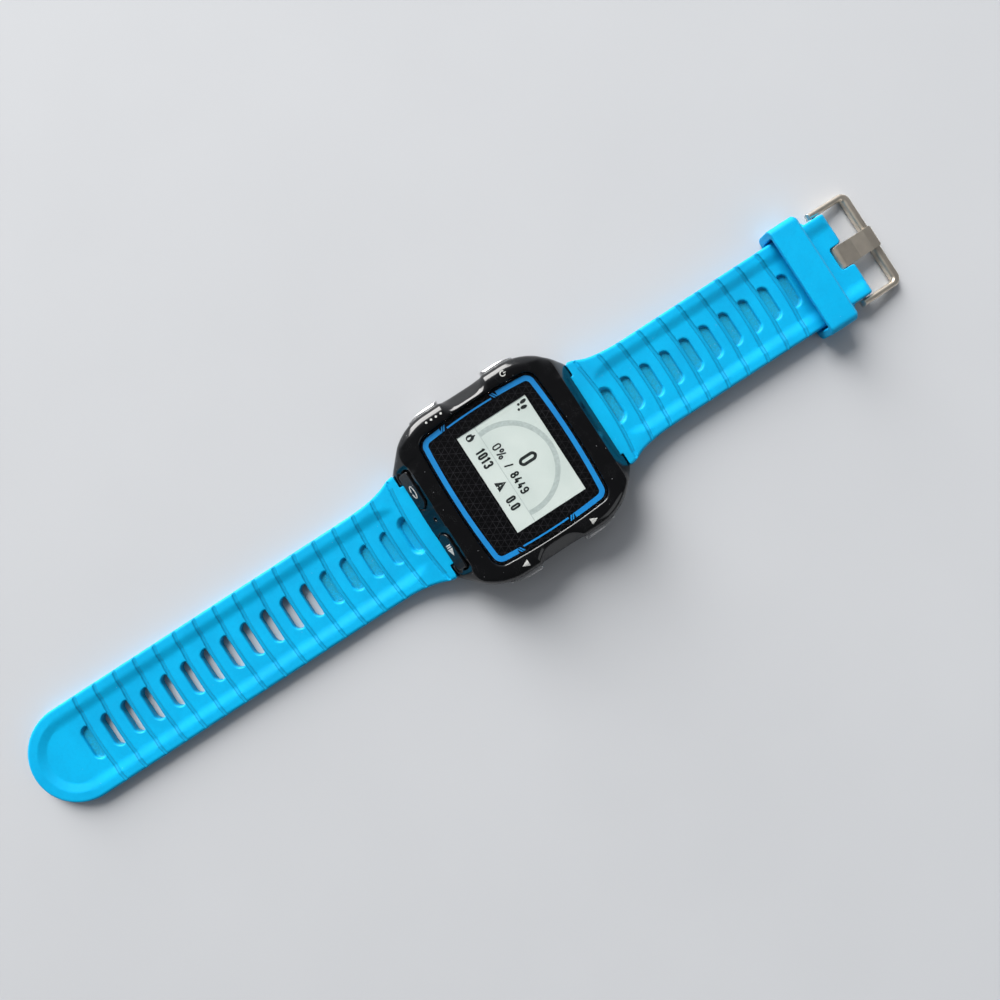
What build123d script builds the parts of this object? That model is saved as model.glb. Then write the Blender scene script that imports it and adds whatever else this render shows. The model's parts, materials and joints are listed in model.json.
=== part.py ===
from build123d import *
from math import asin, atan2, cos, degrees, hypot, radians, sin
import os

# Sports GPS wristwatch, open strap laid flat, face up.
# +X is 3 o'clock, +Y is 12 o'clock, +Z is up through the lens.
# The origin is the centre of the case back, where it meets the wrist or a table.
# All sizes are in millimetres.

# ---- Driving dimensions: case ----
CASE_HALF_WIDTH = 24.65
CORNER_Y = 17.2            # where the sides turn towards the lugs
CORNER_R = 16.0
LUG_HALF_WIDTH = 16.0      # half width across the lug noses
SEAM_Z = 3.0               # joint between front case and rear cover
BEZEL_Z = 12.5
TOP_ROUND = 2.9            # rolled edge along the sides
PIN_Y = 24.0               # strap pin axis, each end
PIN_Z = 4.4
PIN_HALF = 17.1            # half length of the strap pins
NOSE_R = 3.4               # lug nose about the pin
KNUCKLE_R = 2.8            # strap knuckle about the pin
POCKET_R = 3.05
LUG_INNER_X = 12.3         # inner face of each lug
LIP_Z = 7.25               # lower edge of the end slopes, above the strap
RIDGE_TOP = (23.3, 11.8)   # ridge at 12 o'clock, as (distance from centre, height)
RIDGE_LOW = (21.7, 11.9)   # ridge at 6 o'clock
WALL_Y = 20.6              # end walls of the sealed compartment

# ---- Driving dimensions: inside ----
CAVITY_X, CAVITY_Y, CAVITY_R, CAVITY_Z = 21.2, 19.5, 4.0, 10.2
LEDGE_Z = 11.2
LENS_MID_Y = 0.6
LENS_CORNER = (19.15, 17.25)
LENS_BOW = (0.85, 0.85)    # how far sides and ends bow outwards
LENS_CORNER_R = 3.3
LENS_GAP = 0.13
LENS_Z = (11.45, 12.65)
VIEW_MID_Y = 2.86
VIEW_SIZE = (28.6, 20.7)   # lit area of the display
POST_X, POST_Y, POST_R = 18.2, 16.3, 2.2

# ---- Driving dimensions: buttons ----
SIDE_BUTTON_Y = 11.3
SIDE_BUTTON_Z = 6.5
SIDE_BUTTON_SIZE = (9.3, 4.3)
SIDE_RECESS_X = 23.2
SIDE_PROUD = 1.2
BUTTON_TRAVEL = 0.6
BUTTON_GAP = 0.16
STEM_R, BORE_R, SEAL_BORE_R = 0.9, 0.95, 1.4
SERRATION_PITCH = 0.66
END_BUTTON_X = 9.3
END_BUTTON_SIZE = (10.4, 4.1)
END_BUTTON_DOWN = 3.75     # pad centre, down the slope from the ridge
END_STEM_DOWN = 2.1
END_RECESS = 1.3
PAD_LOW_Z = 7.78           # underside of the end pads, clear of the strap when pressed

# ---- Driving dimensions: strap ----
STRAP_HALF = 13.4
STRAP_T = 3.0
SHOULDER_R = 3.6           # clearance of the shoulders about the pin
SHOULDER_HALF = 15.9
SHOULDER_S = 25.2          # the shoulders reach back to here before they are cut clear of the lugs
STRAP_EDGE_R = 0.8
FLAT_S = 50.0              # from here on the strap is straight
LONG_TIP_S = 151.4
LONG_SLOT_S, LONG_PITCH, LONG_SLOTS = 30.95, 6.34, 17
LONG_BLIND = (0, 1, 2, 3, 4, 16)
SHORT_SLOT_S, SHORT_PITCH, SHORT_SLOTS = 31.2, 6.2, 10
SHORT_FLAT_Z = 1.5         # the short half rides on its keeper
SLOT_SIZE = (9.6, 2.3)
SLOT_CORNER_R = 1.85
POCKET_DEPTH = 1.0
CHANNEL_HALF, CHANNEL_DEPTH, CHANNEL_SLOPE = 8.3, 0.6, 2.2
GROOVE_W, GROOVE_DEPTH, GROOVE_SAG = 0.9, 0.35, 1.15

# ---- Driving dimensions: keeper and buckle ----
KEEPER_S = (89.6, 98.1)
KEEPER_HALF, KEEPER_WALL, KEEPER_TOP = 16.0, 2.15, 8.2
BAR_S = 104.0              # spring bar axis
BAR_Z = SHORT_FLAT_Z + STRAP_T / 2
EYE_R = 2.4
END_STEP_S = 95.4          # the short half thickens from here to its eye
END_HALF = 12.4
NOTCH_HALF = 3.3
FRAME_HALF, FRAME_SIDE, FRAME_BAR, FRAME_T = 14.45, 1.7, 2.3, 2.2
FRAME_REACH = 12.0         # bar axis to the outer edge of the frame
TANG_HALF, TANG_T = 3.0, 1.1

FRAME_TILT = degrees(asin((BAR_Z - FRAME_T / 2) / (FRAME_REACH - FRAME_BAR / 2)))

PARTS = "parts"


# ---------------------------------------------------------------- helpers

def save(name, shape):
    """Writes one node, as a compound when it is several solids."""
    solids = shape if isinstance(shape, list) else [shape]
    body = solids[0] if len(solids) == 1 else Compound(children=solids)
    export_step(body, os.path.join(PARTS, name + ".step"))


def box_between(low, high):
    size = [b - a for a, b in zip(low, high)]
    middle = [(a + b) / 2 for a, b in zip(low, high)]
    return Pos(*middle) * Box(*size)


def rod(centre, direction, radius, start, end):
    """A round bar along direction, from start to end millimetres past centre."""
    plane = Plane(origin=centre, z_dir=direction)
    return plane * Pos(0, 0, (start + end) / 2) * Cylinder(radius, end - start)


def slab(half_x, half_y, corner, z_low, z_high, mid_y=0.0):
    """A plate with rounded corners."""
    outline = Pos(0, mid_y) * RectangleRounded(2 * half_x, 2 * half_y, corner)
    return Pos(0, 0, z_low) * extrude(outline, z_high - z_low)


def side_prism(face, half_x):
    """A face drawn as (distance along Y, height), made 2 * half_x wide along X."""
    return extrude(Plane.YZ * face, half_x, both=True)


def flip_y(shape):
    return mirror(shape, Plane.XZ)


def flip_x(shape):
    return mirror(shape, Plane.YZ)


# ---------------------------------------------------------------- front case

def slope_contact(ridge):
    """Where the slope from the ridge touches the lug nose, and its steepness in degrees."""
    dy, dz = PIN_Y - ridge[0], PIN_Z - ridge[1]
    reach = hypot(dy, dz)
    steep = -degrees(atan2(dz, dy)) - degrees(asin(NOSE_R / reach))
    touch = (PIN_Y + NOSE_R * sin(radians(steep)), PIN_Z + NOSE_R * cos(radians(steep)))
    return touch, steep


def rolled_block(inset, z_low, z_high, edge_round):
    """The case's plan shape with a rolled top edge. It runs past the lugs, for cutting to length."""
    end_y = 34.0
    taper = (CASE_HALF_WIDTH - LUG_HALF_WIDTH) / (PIN_Y + NOSE_R - CORNER_Y)
    end_x = LUG_HALF_WIDTH - taper * (end_y - PIN_Y - NOSE_R)
    points = [
        (end_x, end_y), (CASE_HALF_WIDTH, CORNER_Y), (CASE_HALF_WIDTH, -CORNER_Y), (end_x, -end_y),
        (-end_x, -end_y), (-CASE_HALF_WIDTH, -CORNER_Y), (-CASE_HALF_WIDTH, CORNER_Y), (-end_x, end_y),
    ]
    face = make_face(Polyline(*points, close=True))
    corners = [v for v in face.vertices() if abs(abs(v.Y) - CORNER_Y) < 0.01]
    face = fillet(corners, CORNER_R)
    if inset:
        face = offset(face, amount=-inset, kind=Kind.INTERSECTION)
    block = Pos(0, 0, z_low) * extrude(face, z_high - z_low)
    if edge_round:
        rim = [e for e in block.edges().group_by(Axis.Z)[-1] if abs(e.center().Y) < end_y - inset - 0.5]
        block = fillet(rim, edge_round)
    return block


def case_profile():
    """Side view of the front case with its lug noses, as (Y, Z)."""
    top_touch, _ = slope_contact(RIDGE_TOP)
    low_touch, _ = slope_contact(RIDGE_LOW)
    under = PIN_Z - NOSE_R
    edges = [
        Line((-WALL_Y, SEAM_Z), (WALL_Y, SEAM_Z)),
        Line((WALL_Y, SEAM_Z), (WALL_Y, under)),
        Line((WALL_Y, under), (PIN_Y, under)),
        ThreePointArc((PIN_Y, under), (PIN_Y + NOSE_R, PIN_Z), top_touch),
        Line(top_touch, RIDGE_TOP),
        Line(RIDGE_TOP, (17.6, BEZEL_Z)),
        Line((17.6, BEZEL_Z), (-16.6, BEZEL_Z)),
        Line((-16.6, BEZEL_Z), (-RIDGE_LOW[0], RIDGE_LOW[1])),
        Line((-RIDGE_LOW[0], RIDGE_LOW[1]), (-low_touch[0], low_touch[1])),
        ThreePointArc((-low_touch[0], low_touch[1]), (-PIN_Y - NOSE_R, PIN_Z), (-PIN_Y, under)),
        Line((-PIN_Y, under), (-WALL_Y, under)),
        Line((-WALL_Y, under), (-WALL_Y, SEAM_Z)),
    ]
    face = make_face(edges)
    ridges = [v for v in face.vertices() if v.Y > 11.7 and abs(v.X) > 21]
    face = fillet(ridges, 0.9)
    blends = [v for v in face.vertices() if v.Y > BEZEL_Z - 0.01 and abs(v.X) < 18]
    return fillet(blends, 6.0)


def strap_pocket():
    """Room for a strap knuckle between the lugs at 12 o'clock, open outwards and below."""
    face = Pos(PIN_Y, PIN_Z) * Circle(POCKET_R)
    face += Pos((PIN_Y + 30) / 2, LIP_Z / 2 - 1) * Rectangle(30 - PIN_Y, LIP_Z + 2)
    below = PIN_Y - POCKET_R
    face += Pos((below + 30) / 2, PIN_Z / 2 - 1) * Rectangle(30 - below, PIN_Z + 2)
    return side_prism(face, LUG_INNER_X)


def waist_scoop():
    """Cutter for the finger scoop in the bezel's right side, between the two buttons."""
    inner, outer = (20.9, BEZEL_Z + 0.1), (CASE_HALF_WIDTH - 0.15, 7.9)
    steep = atan2(inner[1] - outer[1], outer[0] - inner[0])
    plane = Plane(
        origin=((inner[0] + outer[0]) / 2, 0, (inner[1] + outer[1]) / 2),
        x_dir=(cos(steep), 0, -sin(steep)),
        z_dir=(sin(steep), 0, cos(steep)),
    )
    cutter = extrude(Rectangle(14, 8.2), 5, taper=-52)
    bends = [e for e in cutter.edges().group_by(Axis.Z)[0] if abs(e.center().Y) > 3.9]
    return plane * fillet(bends, 3.0)


def soften_scoops(case):
    """Rolls over the rims where the finger scoops meet the bezel."""
    rims = []
    for edge in case.edges():
        middle = edge @ 0.5
        if abs(middle.X) > 20.5 and 3.0 < abs(middle.Y) < 6.5 and middle.Z > 11.3 and edge.length < 5:
            rims.append(edge)
    return fillet(rims, 0.8)


def button_plane(name):
    """A button's own plane: z outwards, against its travel, origin where its stem meets the recess floor."""
    if name in ("back_button", "enter_button"):
        _, steep = slope_contact(RIDGE_LOW)
        a = radians(steep)
        side = -1 if name == "back_button" else 1
        along = (0, -cos(a), -sin(a))
        out = (0, -sin(a), cos(a))
        y = -RIDGE_LOW[0] + along[1] * END_STEM_DOWN - out[1] * END_RECESS
        z = RIDGE_LOW[1] + along[2] * END_STEM_DOWN - out[2] * END_RECESS
        return Plane(origin=(side * END_BUTTON_X, y, z), x_dir=(side, 0, 0), z_dir=out)
    side = -1 if name in ("power_button", "mode_button") else 1
    y = SIDE_BUTTON_Y if name in ("power_button", "up_button") else -SIDE_BUTTON_Y
    return Plane(origin=(side * SIDE_RECESS_X, y, SIDE_BUTTON_Z), x_dir=(0, 1, 0), z_dir=(side, 0, 0))


SIDE_BUTTONS = ("power_button", "mode_button", "up_button", "down_button")
END_BUTTONS = ("back_button", "enter_button")


def end_pad_outline(grow):
    """Plan of an end button on its own plane, with the inner end round and the outer end squarer."""
    width, height = END_BUTTON_SIZE[0] + 2 * grow, END_BUTTON_SIZE[1] + 2 * grow
    face = Rectangle(width, height)
    inner = [v for v in face.vertices() if v.X < 0]
    face = fillet(inner, height / 2 - 0.05)
    outer = [v for v in face.vertices() if v.X > width / 2 - 0.01]
    return fillet(outer, 0.7 + grow)


def end_pad_place(name):
    """Moves a pad outline from the stem to the pad's centre, which is lower on the slope."""
    drop = END_BUTTON_DOWN - END_STEM_DOWN
    return Pos(0, drop if name == "back_button" else -drop)


def button_recess(name):
    """Cutter for a button's recess, stem bore and seal bore in the front case."""
    plane = button_plane(name)
    if name in SIDE_BUTTONS:
        width, height = SIDE_BUTTON_SIZE
        outline = RectangleRounded(width + 2 * BUTTON_GAP, height + 2 * BUTTON_GAP, 1.4 + BUTTON_GAP)
    else:
        outline = end_pad_place(name) * end_pad_outline(BUTTON_GAP)
    recess = extrude(outline, 6)
    bore = Pos(0, 0, -2.5) * Cylinder(BORE_R, 9)
    seal_bore = Pos(0, 0, -0.6) * Cylinder(SEAL_BORE_R, 1.2)
    return plane * (recess + bore + seal_bore)


def lens_outline(grow):
    """The bowed, round-cornered outline of the lens opening, made larger all round by grow."""
    cx, cy = LENS_CORNER[0] + grow, LENS_CORNER[1] + grow
    bow_x, bow_y = LENS_BOW
    edges = [
        ThreePointArc((cx, -cy), (cx + bow_x, 0), (cx, cy)),
        ThreePointArc((cx, cy), (0, cy + bow_y), (-cx, cy)),
        ThreePointArc((-cx, cy), (-cx - bow_x, 0), (-cx, -cy)),
        ThreePointArc((-cx, -cy), (0, -cy - bow_y), (cx, -cy)),
    ]
    face = make_face(edges)
    return Pos(0, LENS_MID_Y) * fillet(face.vertices(), LENS_CORNER_R + grow)


def posts(radius, z_low, z_high):
    """Four round columns at the screw places."""
    return [
        Pos(x, y, (z_low + z_high) / 2) * Cylinder(radius, z_high - z_low)
        for x in (-POST_X, POST_X) for y in (-POST_Y, POST_Y)
    ]


def front_case():
    block = rolled_block(0, PIN_Z - NOSE_R, BEZEL_Z, TOP_ROUND)
    case = block & side_prism(case_profile(), CASE_HALF_WIDTH + 1)
    scoop = waist_scoop()
    case -= scoop
    case = soften_scoops(case - flip_x(scoop))
    pocket = strap_pocket()
    case -= pocket
    case -= flip_y(pocket)
    case -= slab(CAVITY_X, CAVITY_Y, CAVITY_R, 0, CAVITY_Z)
    for post in posts(POST_R, SEAM_Z, CAVITY_Z + 0.1):
        case += post
    for hole in posts(0.7, SEAM_Z - 0.1, SEAM_Z + 5):
        case -= hole
    case -= slab(17.3, 14.1, 1.5, CAVITY_Z - 0.5, BEZEL_Z, mid_y=VIEW_MID_Y)
    case -= Pos(0, 0, LEDGE_Z) * extrude(lens_outline(0), 3)
    bevel = Pos(0, 0, BEZEL_Z - 0.25) * extrude(lens_outline(0), 0.6, taper=-45)
    case -= bevel
    for name in SIDE_BUTTONS + END_BUTTONS:
        case -= button_recess(name)
    for y in (-PIN_Y, PIN_Y):
        case -= rod((0, y, PIN_Z), (1, 0, 0), 0.85, -20, 20)
        for side in (-1, 1):
            case -= rod((0, y, PIN_Z), (side, 0, 0), 1.45, PIN_HALF + 0.1, 24)
    case -= port_hole()
    return case


def port_plane():
    """The pressure port between the end buttons, z outwards, with the origin on the slope."""
    _, steep = slope_contact(RIDGE_LOW)
    a = radians(steep)
    down = 2.3
    origin = (0, -RIDGE_LOW[0] - cos(a) * down, RIDGE_LOW[1] - sin(a) * down)
    return Plane(origin=origin, x_dir=(1, 0, 0), z_dir=(0, -sin(a), cos(a)))


def port_hole():
    return port_plane() * (Pos(0, 0, -3.5) * Cylinder(0.45, 9))


# ---------------------------------------------------------------- lens stack

def lens():
    plate = Pos(0, 0, LENS_Z[0]) * extrude(lens_outline(-LENS_GAP), LENS_Z[1] - LENS_Z[0])
    return fillet(plate.edges().group_by(Axis.Z)[-1], 0.28)


def lens_adhesive():
    ring = lens_outline(-0.35) - Pos(0, VIEW_MID_Y) * RectangleRounded(35.2, 28.8, 1.6)
    return Pos(0, 0, LEDGE_Z) * extrude(ring, 0.16)


def mask_print():
    """Black print under the lens, open over the display."""
    ring = lens_outline(-0.2) - Pos(0, VIEW_MID_Y) * Rectangle(*VIEW_SIZE)
    return Pos(0, 0, LEDGE_Z + 0.16) * extrude(ring, 0.05)


ACCENT_OUTER, ACCENT_INNER, ACCENT_THIN = 0.72, 2.0, 1.55
ACCENT_TOP_CUT, ACCENT_LOW_CUT = 7.3, -9.9


def accent_print():
    """Coloured line round the display: thick over the corners, thin along the sides, with slanted breaks."""
    band = lens_outline(-ACCENT_OUTER) - lens_outline(-ACCENT_INNER)
    thin = lens_outline(-ACCENT_THIN) - lens_outline(-ACCENT_INNER)
    lift, stripe, gap, slant = 1.1, 0.34, 0.3, 30
    line = band
    for side in (-1, 1):
        middle = (ACCENT_TOP_CUT + ACCENT_LOW_CUT) / 2
        length = ACCENT_TOP_CUT - ACCENT_LOW_CUT
        line -= Pos(side * 19, middle) * Rectangle(6, length)
        keep = Pos(side * 19, middle) * Rectangle(6, length - 2 * (2 * stripe + 3 * gap + 0.25))
        line += thin & keep
        for level, way in ((ACCENT_TOP_CUT, -1), (ACCENT_LOW_CUT, 1)):
            for step in (0, 1):
                offset_y = way * (gap + stripe / 2 + step * (stripe + gap))
                bar = Rotation(0, 0, side * way * slant) * Rectangle(6, stripe)
                line += band & (Pos(side * 18.3, level + offset_y) * bar)
    return [Pos(0, 0, LEDGE_Z + 0.21) * extrude(face, 0.03) for face in line.faces()]


def display_panel():
    return slab(15.8, 12.5, 0.6, 9.85, 11.3, mid_y=VIEW_MID_Y)


def backlight():
    return slab(15.4, 12.1, 0.6, 9.1, 9.8, mid_y=VIEW_MID_Y)


def mid_frame():
    plate = slab(19.2, 17.4, 3, 8.3, 9.05)
    wall = slab(16.9, 13.7, 1.2, 9.05, 9.8, mid_y=VIEW_MID_Y) - slab(16.1, 12.8, 0.8, 9, 10, mid_y=VIEW_MID_Y)
    plate += wall
    plate += box_between((-10.5, 17, 8.3), (10.5, 19.2, 9.05))
    for post in posts(POST_R + 0.3, 8, 10):
        plate -= post
    plate -= box_between((-3, -13.6, 8), (3, -12.2, 10))
    return plate


# ---------------------------------------------------------------- electronics

BOARD_Z = (7.0, 7.9)
BOARD_HALF_Y = 16.6


def main_board():
    board = slab(19.3, BOARD_HALF_Y, 2, *BOARD_Z)
    for post in posts(POST_R + 0.3, 6, 9):
        board -= post
    for name in SIDE_BUTTONS:
        side = -1 if name in ("power_button", "mode_button") else 1
        y = SIDE_BUTTON_Y if name in ("power_button", "up_button") else -SIDE_BUTTON_Y
        board -= Pos(side * 20.2, y, 7.5) * Box(3.0, 4.2, 3)
    return board


def processor_shield():
    can = box_between((-9, -6, 6.1), (8, 8, BOARD_Z[0]))
    can = fillet(can.edges().filter_by(Axis.Z), 0.8)
    return can - box_between((-8.8, -5.8, 6.3), (7.8, 7.8, BOARD_Z[0] + 1))


def board_components():
    """Chips and passive parts on the board's underside, each its own solid."""
    chips = [
        box_between((-7.5, -4.5, 6.35), (-1.5, 1.5, BOARD_Z[0])),
        box_between((0.5, -3.5, 6.4), (5.5, 1.5, BOARD_Z[0])),
        box_between((-6, 3.5, 6.45), (-2, 6.5, BOARD_Z[0])),
        box_between((11, 3, 6.2), (14, 6, BOARD_Z[0])),
        box_between((11.5, -4, 6.3), (13.5, -2, BOARD_Z[0])),
        box_between((-13.5, -3, 6.2), (-11, -0.5, BOARD_Z[0])),
    ]
    for k in range(6):
        chips.append(box_between((-5.4 + 2 * k, -12.7, 6.5), (-4.6 + 2 * k, -11.3, BOARD_Z[0])))
    return chips


def display_flex():
    """The ribbon that folds from the display down to the board."""
    top_y, low_z = VIEW_MID_Y - 12.5, BOARD_Z[1]
    face = make_face(Polyline(
        (top_y, 10.2), (top_y - 3.2, 10.2), (top_y - 3.2, low_z), (top_y - 1.2, low_z),
        (top_y - 1.2, low_z + 0.15), (top_y - 3.05, low_z + 0.15), (top_y - 3.05, 10.05), (top_y, 10.05),
        close=True,
    ))
    return side_prism(face, 2.6)


def gps_antenna():
    block = box_between((-10, 16.75, 9.1), (10, 19.1, 10.1))
    return fillet(block.edges().filter_by(Axis.Z), 0.5)


def radio_antenna():
    return box_between((-8, 14.2, 6.0), (-4.8, 15.8, BOARD_Z[0]))


def battery():
    cell = box_between((-13.5, -11, 2.75), (13.5, 10.2, 5.9))
    return fillet(cell.edges().filter_by(Axis.Y), 1.2)


def battery_tab():
    """Protection board and lead of the cell."""
    return box_between((-5, -12.6, 4.1), (5, -11, 5.0))


def vibration_motor():
    return Pos(-9.5, 14.4, 4.0) * Cylinder(3.8, 2.6)


def buzzer():
    return Pos(4.5, 14.4, 3.0) * Cylinder(3.6, 0.7)


def port_membrane():
    """Vent disc that keeps water out of the pressure port, on the inner wall."""
    return Plane(origin=(0, -CAVITY_Y, 6.85), z_dir=(0, 1, 0)) * (Pos(0, 0, 0.15) * Cylinder(1.3, 0.3))


def pressure_sensor():
    return box_between((-1.4, -16.4, 5.9), (1.4, -13.8, BOARD_Z[0]))


SWITCH_GAP = BUTTON_TRAVEL + 0.1


def stem_length(name):
    return 3.0 if name in SIDE_BUTTONS else 6.1


def tact_switches():
    """One press switch behind every stem, each its own solid."""
    made = []
    for name in SIDE_BUTTONS + END_BUTTONS:
        face = -stem_length(name) - SWITCH_GAP
        height = 1.0 if name in SIDE_BUTTONS else 1.8
        body = Pos(0, 0, face - 0.9) * Box(3.0, height, 1.2)
        plunger = Pos(0, 0, face - 0.15) * Cylinder(0.45, 0.3)
        made.append(button_plane(name) * (body + plunger))
    return made


def switch_brackets():
    """Two bent plates under the board that hold the switches of the end buttons."""
    plane = button_plane("enter_button")
    depth = stem_length("enter_button") + SWITCH_GAP + 1.5

    def at(inward, up):
        spot = plane.origin - plane.z_dir * inward + plane.y_dir * up
        return (spot.Y, spot.Z)

    top = BOARD_Z[0]
    low_a, low_b = at(depth, -1.2), at(depth + 0.3, -1.2)
    climb = (top - 0.3 - at(depth, 0)[1]) / abs(plane.y_dir.Z)
    high_a = at(depth, climb)
    high_b = (at(depth + 0.3, climb)[0], top - 0.3)
    profile = Polyline(
        low_a, high_a, (high_a[0], top), (high_a[0] + 2.2, top), (high_a[0] + 2.2, top - 0.3), high_b, low_b,
        close=True,
    )
    plate = side_prism(make_face(profile), 2.0)
    return [Pos(side * END_BUTTON_X, 0, 0) * plate for side in (-1, 1)]


# ---------------------------------------------------------------- buttons

def serrated_cap(name):
    """A side button: a pad that follows the case's side, with fine upright ribs, on a round stem."""
    width, height = SIDE_BUTTON_SIZE
    upper = name in ("power_button", "up_button")
    outward = CASE_HALF_WIDTH + SIDE_PROUD - SIDE_RECESS_X
    rib, count = 0.26, int(width / SERRATION_PITCH)
    fall_from = 2.2

    def outer(u):
        """Height of the pad's face: level towards the waist, falling round the case's corner."""
        past = max(0.0, (u if upper else -u) - (-width / 2 + fall_from))
        return outward - 0.024 * past ** 2

    start = -count * SERRATION_PITCH / 2
    points = [(start - 0.5, 0), (start - 0.5, outer(start))]
    for k in range(count):
        u = start + k * SERRATION_PITCH
        crest = u + SERRATION_PITCH / 2
        points += [(u + 0.08, outer(u + 0.08) - rib), (crest, outer(crest))]
    points += [(-start + 0.5, outer(-start)), (-start + 0.5, 0)]
    ribs = extrude(Plane.XZ * make_face(Polyline(*points, close=True)), height, both=True)
    outline = extrude(RectangleRounded(width, height, 1.4), 6)
    outline = chamfer_top(outline, width, height, outward)
    lift = BUTTON_TRAVEL + 0.05
    pad = (ribs & outline) - Pos(0, 0, lift / 2) * Box(20, 20, lift)
    stem = Pos(0, 0, (lift + 0.2 - stem_length(name)) / 2) * Cylinder(STEM_R, lift + 0.2 + stem_length(name))
    return button_plane(name) * (pad + stem)


def chamfer_top(outline, width, height, outward):
    """Rolls the pad's long edges over, seen from its end."""
    arch = Pos(0, outward / 2) * RectangleRounded(height + 0.01, outward, 0.75)
    skirt = Pos(0, outward / 4) * Rectangle(height + 0.01, outward / 2)
    return outline & extrude(Plane.YZ * (arch + skirt), width, both=True)


def end_cap(name):
    """An end button: a smooth pad, a little proud of the slope, on a round stem."""
    proud, lift = 0.3, BUTTON_TRAVEL + 0.05
    pad = Pos(0, 0, lift) * extrude(end_pad_place(name) * end_pad_outline(0), END_RECESS + proud - lift)
    pad = fillet(pad.edges().group_by(Axis.Z)[-1], 0.25)
    stem = Pos(0, 0, (lift + 0.2 - stem_length(name)) / 2) * Cylinder(STEM_R, lift + 0.2 + stem_length(name))
    cap = button_plane(name) * (pad + stem)
    return cap - box_between((-20, -30, 5), (20, -24.0, PAD_LOW_Z))


def button_seal(name):
    """O-ring on the stem, in the seal bore."""
    return button_plane(name) * (Pos(0, 0, -0.3) * Torus(1.14, 0.22))


def button_clip(name):
    """Retaining clip on the stem's inner end, which stops the button coming out."""
    inner_face = SIDE_RECESS_X - CAVITY_X if name in SIDE_BUTTONS else 5.35
    ring = Cylinder(1.55, 0.35) - Cylinder(STEM_R, 1)
    slit = Pos(0, 1.5, 0) * Box(1.0, 2.2, 1)
    return button_plane(name) * (Pos(0, 0, -inner_face - 0.25) * (ring - slit))


# ---------------------------------------------------------------- rear cover

BOSS_R = 12.75
PLATE_Z = 1.2
CONTACT_Y = -16.2
CONTACT_X = (-5.25, -2.65, 2.65, 5.25)
SEAL_GROOVE = (21.95, 20.02, 0.62, 0.5)    # half width, half length, width, depth


def ring_slab(z_low, z_high):
    """The sealing ring round the compartment, or its groove."""
    half_x, half_y, width, _ = SEAL_GROOVE
    outer = slab(half_x + width / 2, half_y + width / 2, CAVITY_R + 0.8, z_low, z_high)
    inner = slab(half_x - width / 2, half_y - width / 2, CAVITY_R + 0.8 - width, z_low - 1, z_high + 1)
    return outer - inner


def rear_cover():
    plate = rolled_block(0.2, PLATE_Z, SEAM_Z, 0)
    plate &= box_between((-30, -WALL_Y + 0.1, 0), (30, WALL_Y - 0.1, SEAM_Z))
    plate = fillet(plate.edges().group_by(Axis.Z)[0], 1.1)
    boss = Cylinder(BOSS_R, PLATE_Z + 0.4, align=(Align.CENTER, Align.CENTER, Align.MIN))
    boss = fillet(boss.edges().group_by(Axis.Z)[0], 0.35)
    cover = plate + boss
    cover -= slab(20.3, 18.4, 3.2, 2.6, SEAM_Z + 1)
    cover -= Pos(0, 0, 1.3) * Cylinder(BOSS_R - 1.4, 5, align=(Align.CENTER, Align.CENTER, Align.MIN))
    for pad in posts(POST_R + 0.2, 2.5, SEAM_Z):
        cover += pad
    for hole in posts(0.85, -1, 5):
        cover -= hole
    for seat in posts(1.65, 0, 2.05):
        cover -= seat
    cover -= ring_slab(SEAM_Z - SEAL_GROOVE[3], SEAM_Z + 1)
    for side in (-1, 1):
        centre = side * (CONTACT_X[3] + CONTACT_X[2]) / 2
        cover -= Pos(centre, CONTACT_Y, PLATE_Z) * Pos(0, 0, -0.5) * extrude(SlotOverall(5.2, 2.4), 0.9)
    for x in CONTACT_X:
        cover -= Pos(x, CONTACT_Y, 2) * Cylinder(0.75, 4)
    for k in range(5):
        cover -= Pos(-1.6 + 0.8 * k, 16.8, 2) * Cylinder(0.22, 4)
    return cover


def case_gasket():
    return ring_slab(SEAM_Z - SEAL_GROOVE[3], SEAM_Z)


def screw_head(radius, height, socket):
    """A round head with a six-lobe socket in its lower face, on the XY plane, head downwards."""
    head = Cylinder(radius, height, align=(Align.CENTER, Align.CENTER, Align.MIN))
    head = fillet(head.edges().group_by(Axis.Z)[0], 0.15)
    recess = Cylinder(socket * 0.75, 0.9)
    for k in range(6):
        recess += Rotation(0, 0, 60 * k) * (Pos(socket * 0.75, 0, 0) * Cylinder(socket * 0.3, 0.9))
    return head - recess


def case_screws():
    """Four screws from below through the rear cover into the front case's posts."""
    one = Pos(0, 0, 1.3) * screw_head(1.5, 0.75, 0.8) + Pos(0, 0, 4.6) * Cylinder(0.68, 5.2)
    return [Pos(x, y, 0) * one for x in (-POST_X, POST_X) for y in (-POST_Y, POST_Y)]


def charging_contacts():
    made = []
    for x in CONTACT_X:
        pin = Pos(x, CONTACT_Y, 2.5) * Cylinder(0.7, 1.8)
        made.append(fillet(pin.edges().group_by(Axis.Z)[0], 0.15))
    return made


def contact_carrier():
    """Insulating block round the contacts, inside the rear cover."""
    block = box_between((-6.8, CONTACT_Y - 1.3, 2.6), (6.8, CONTACT_Y + 1.3, 3.3))
    for x in CONTACT_X:
        block -= Pos(x, CONTACT_Y, 3) * Cylinder(0.72, 3)
    return block


# ---------------------------------------------------------------- strap pins

def strap_pin(y):
    """Tube through both lugs and the knuckle, threaded at its ends."""
    tube = rod((0, y, PIN_Z), (1, 0, 0), 0.8, -PIN_HALF, PIN_HALF)
    return tube - rod((0, y, PIN_Z), (1, 0, 0), 0.5, -20, 20)


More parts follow.
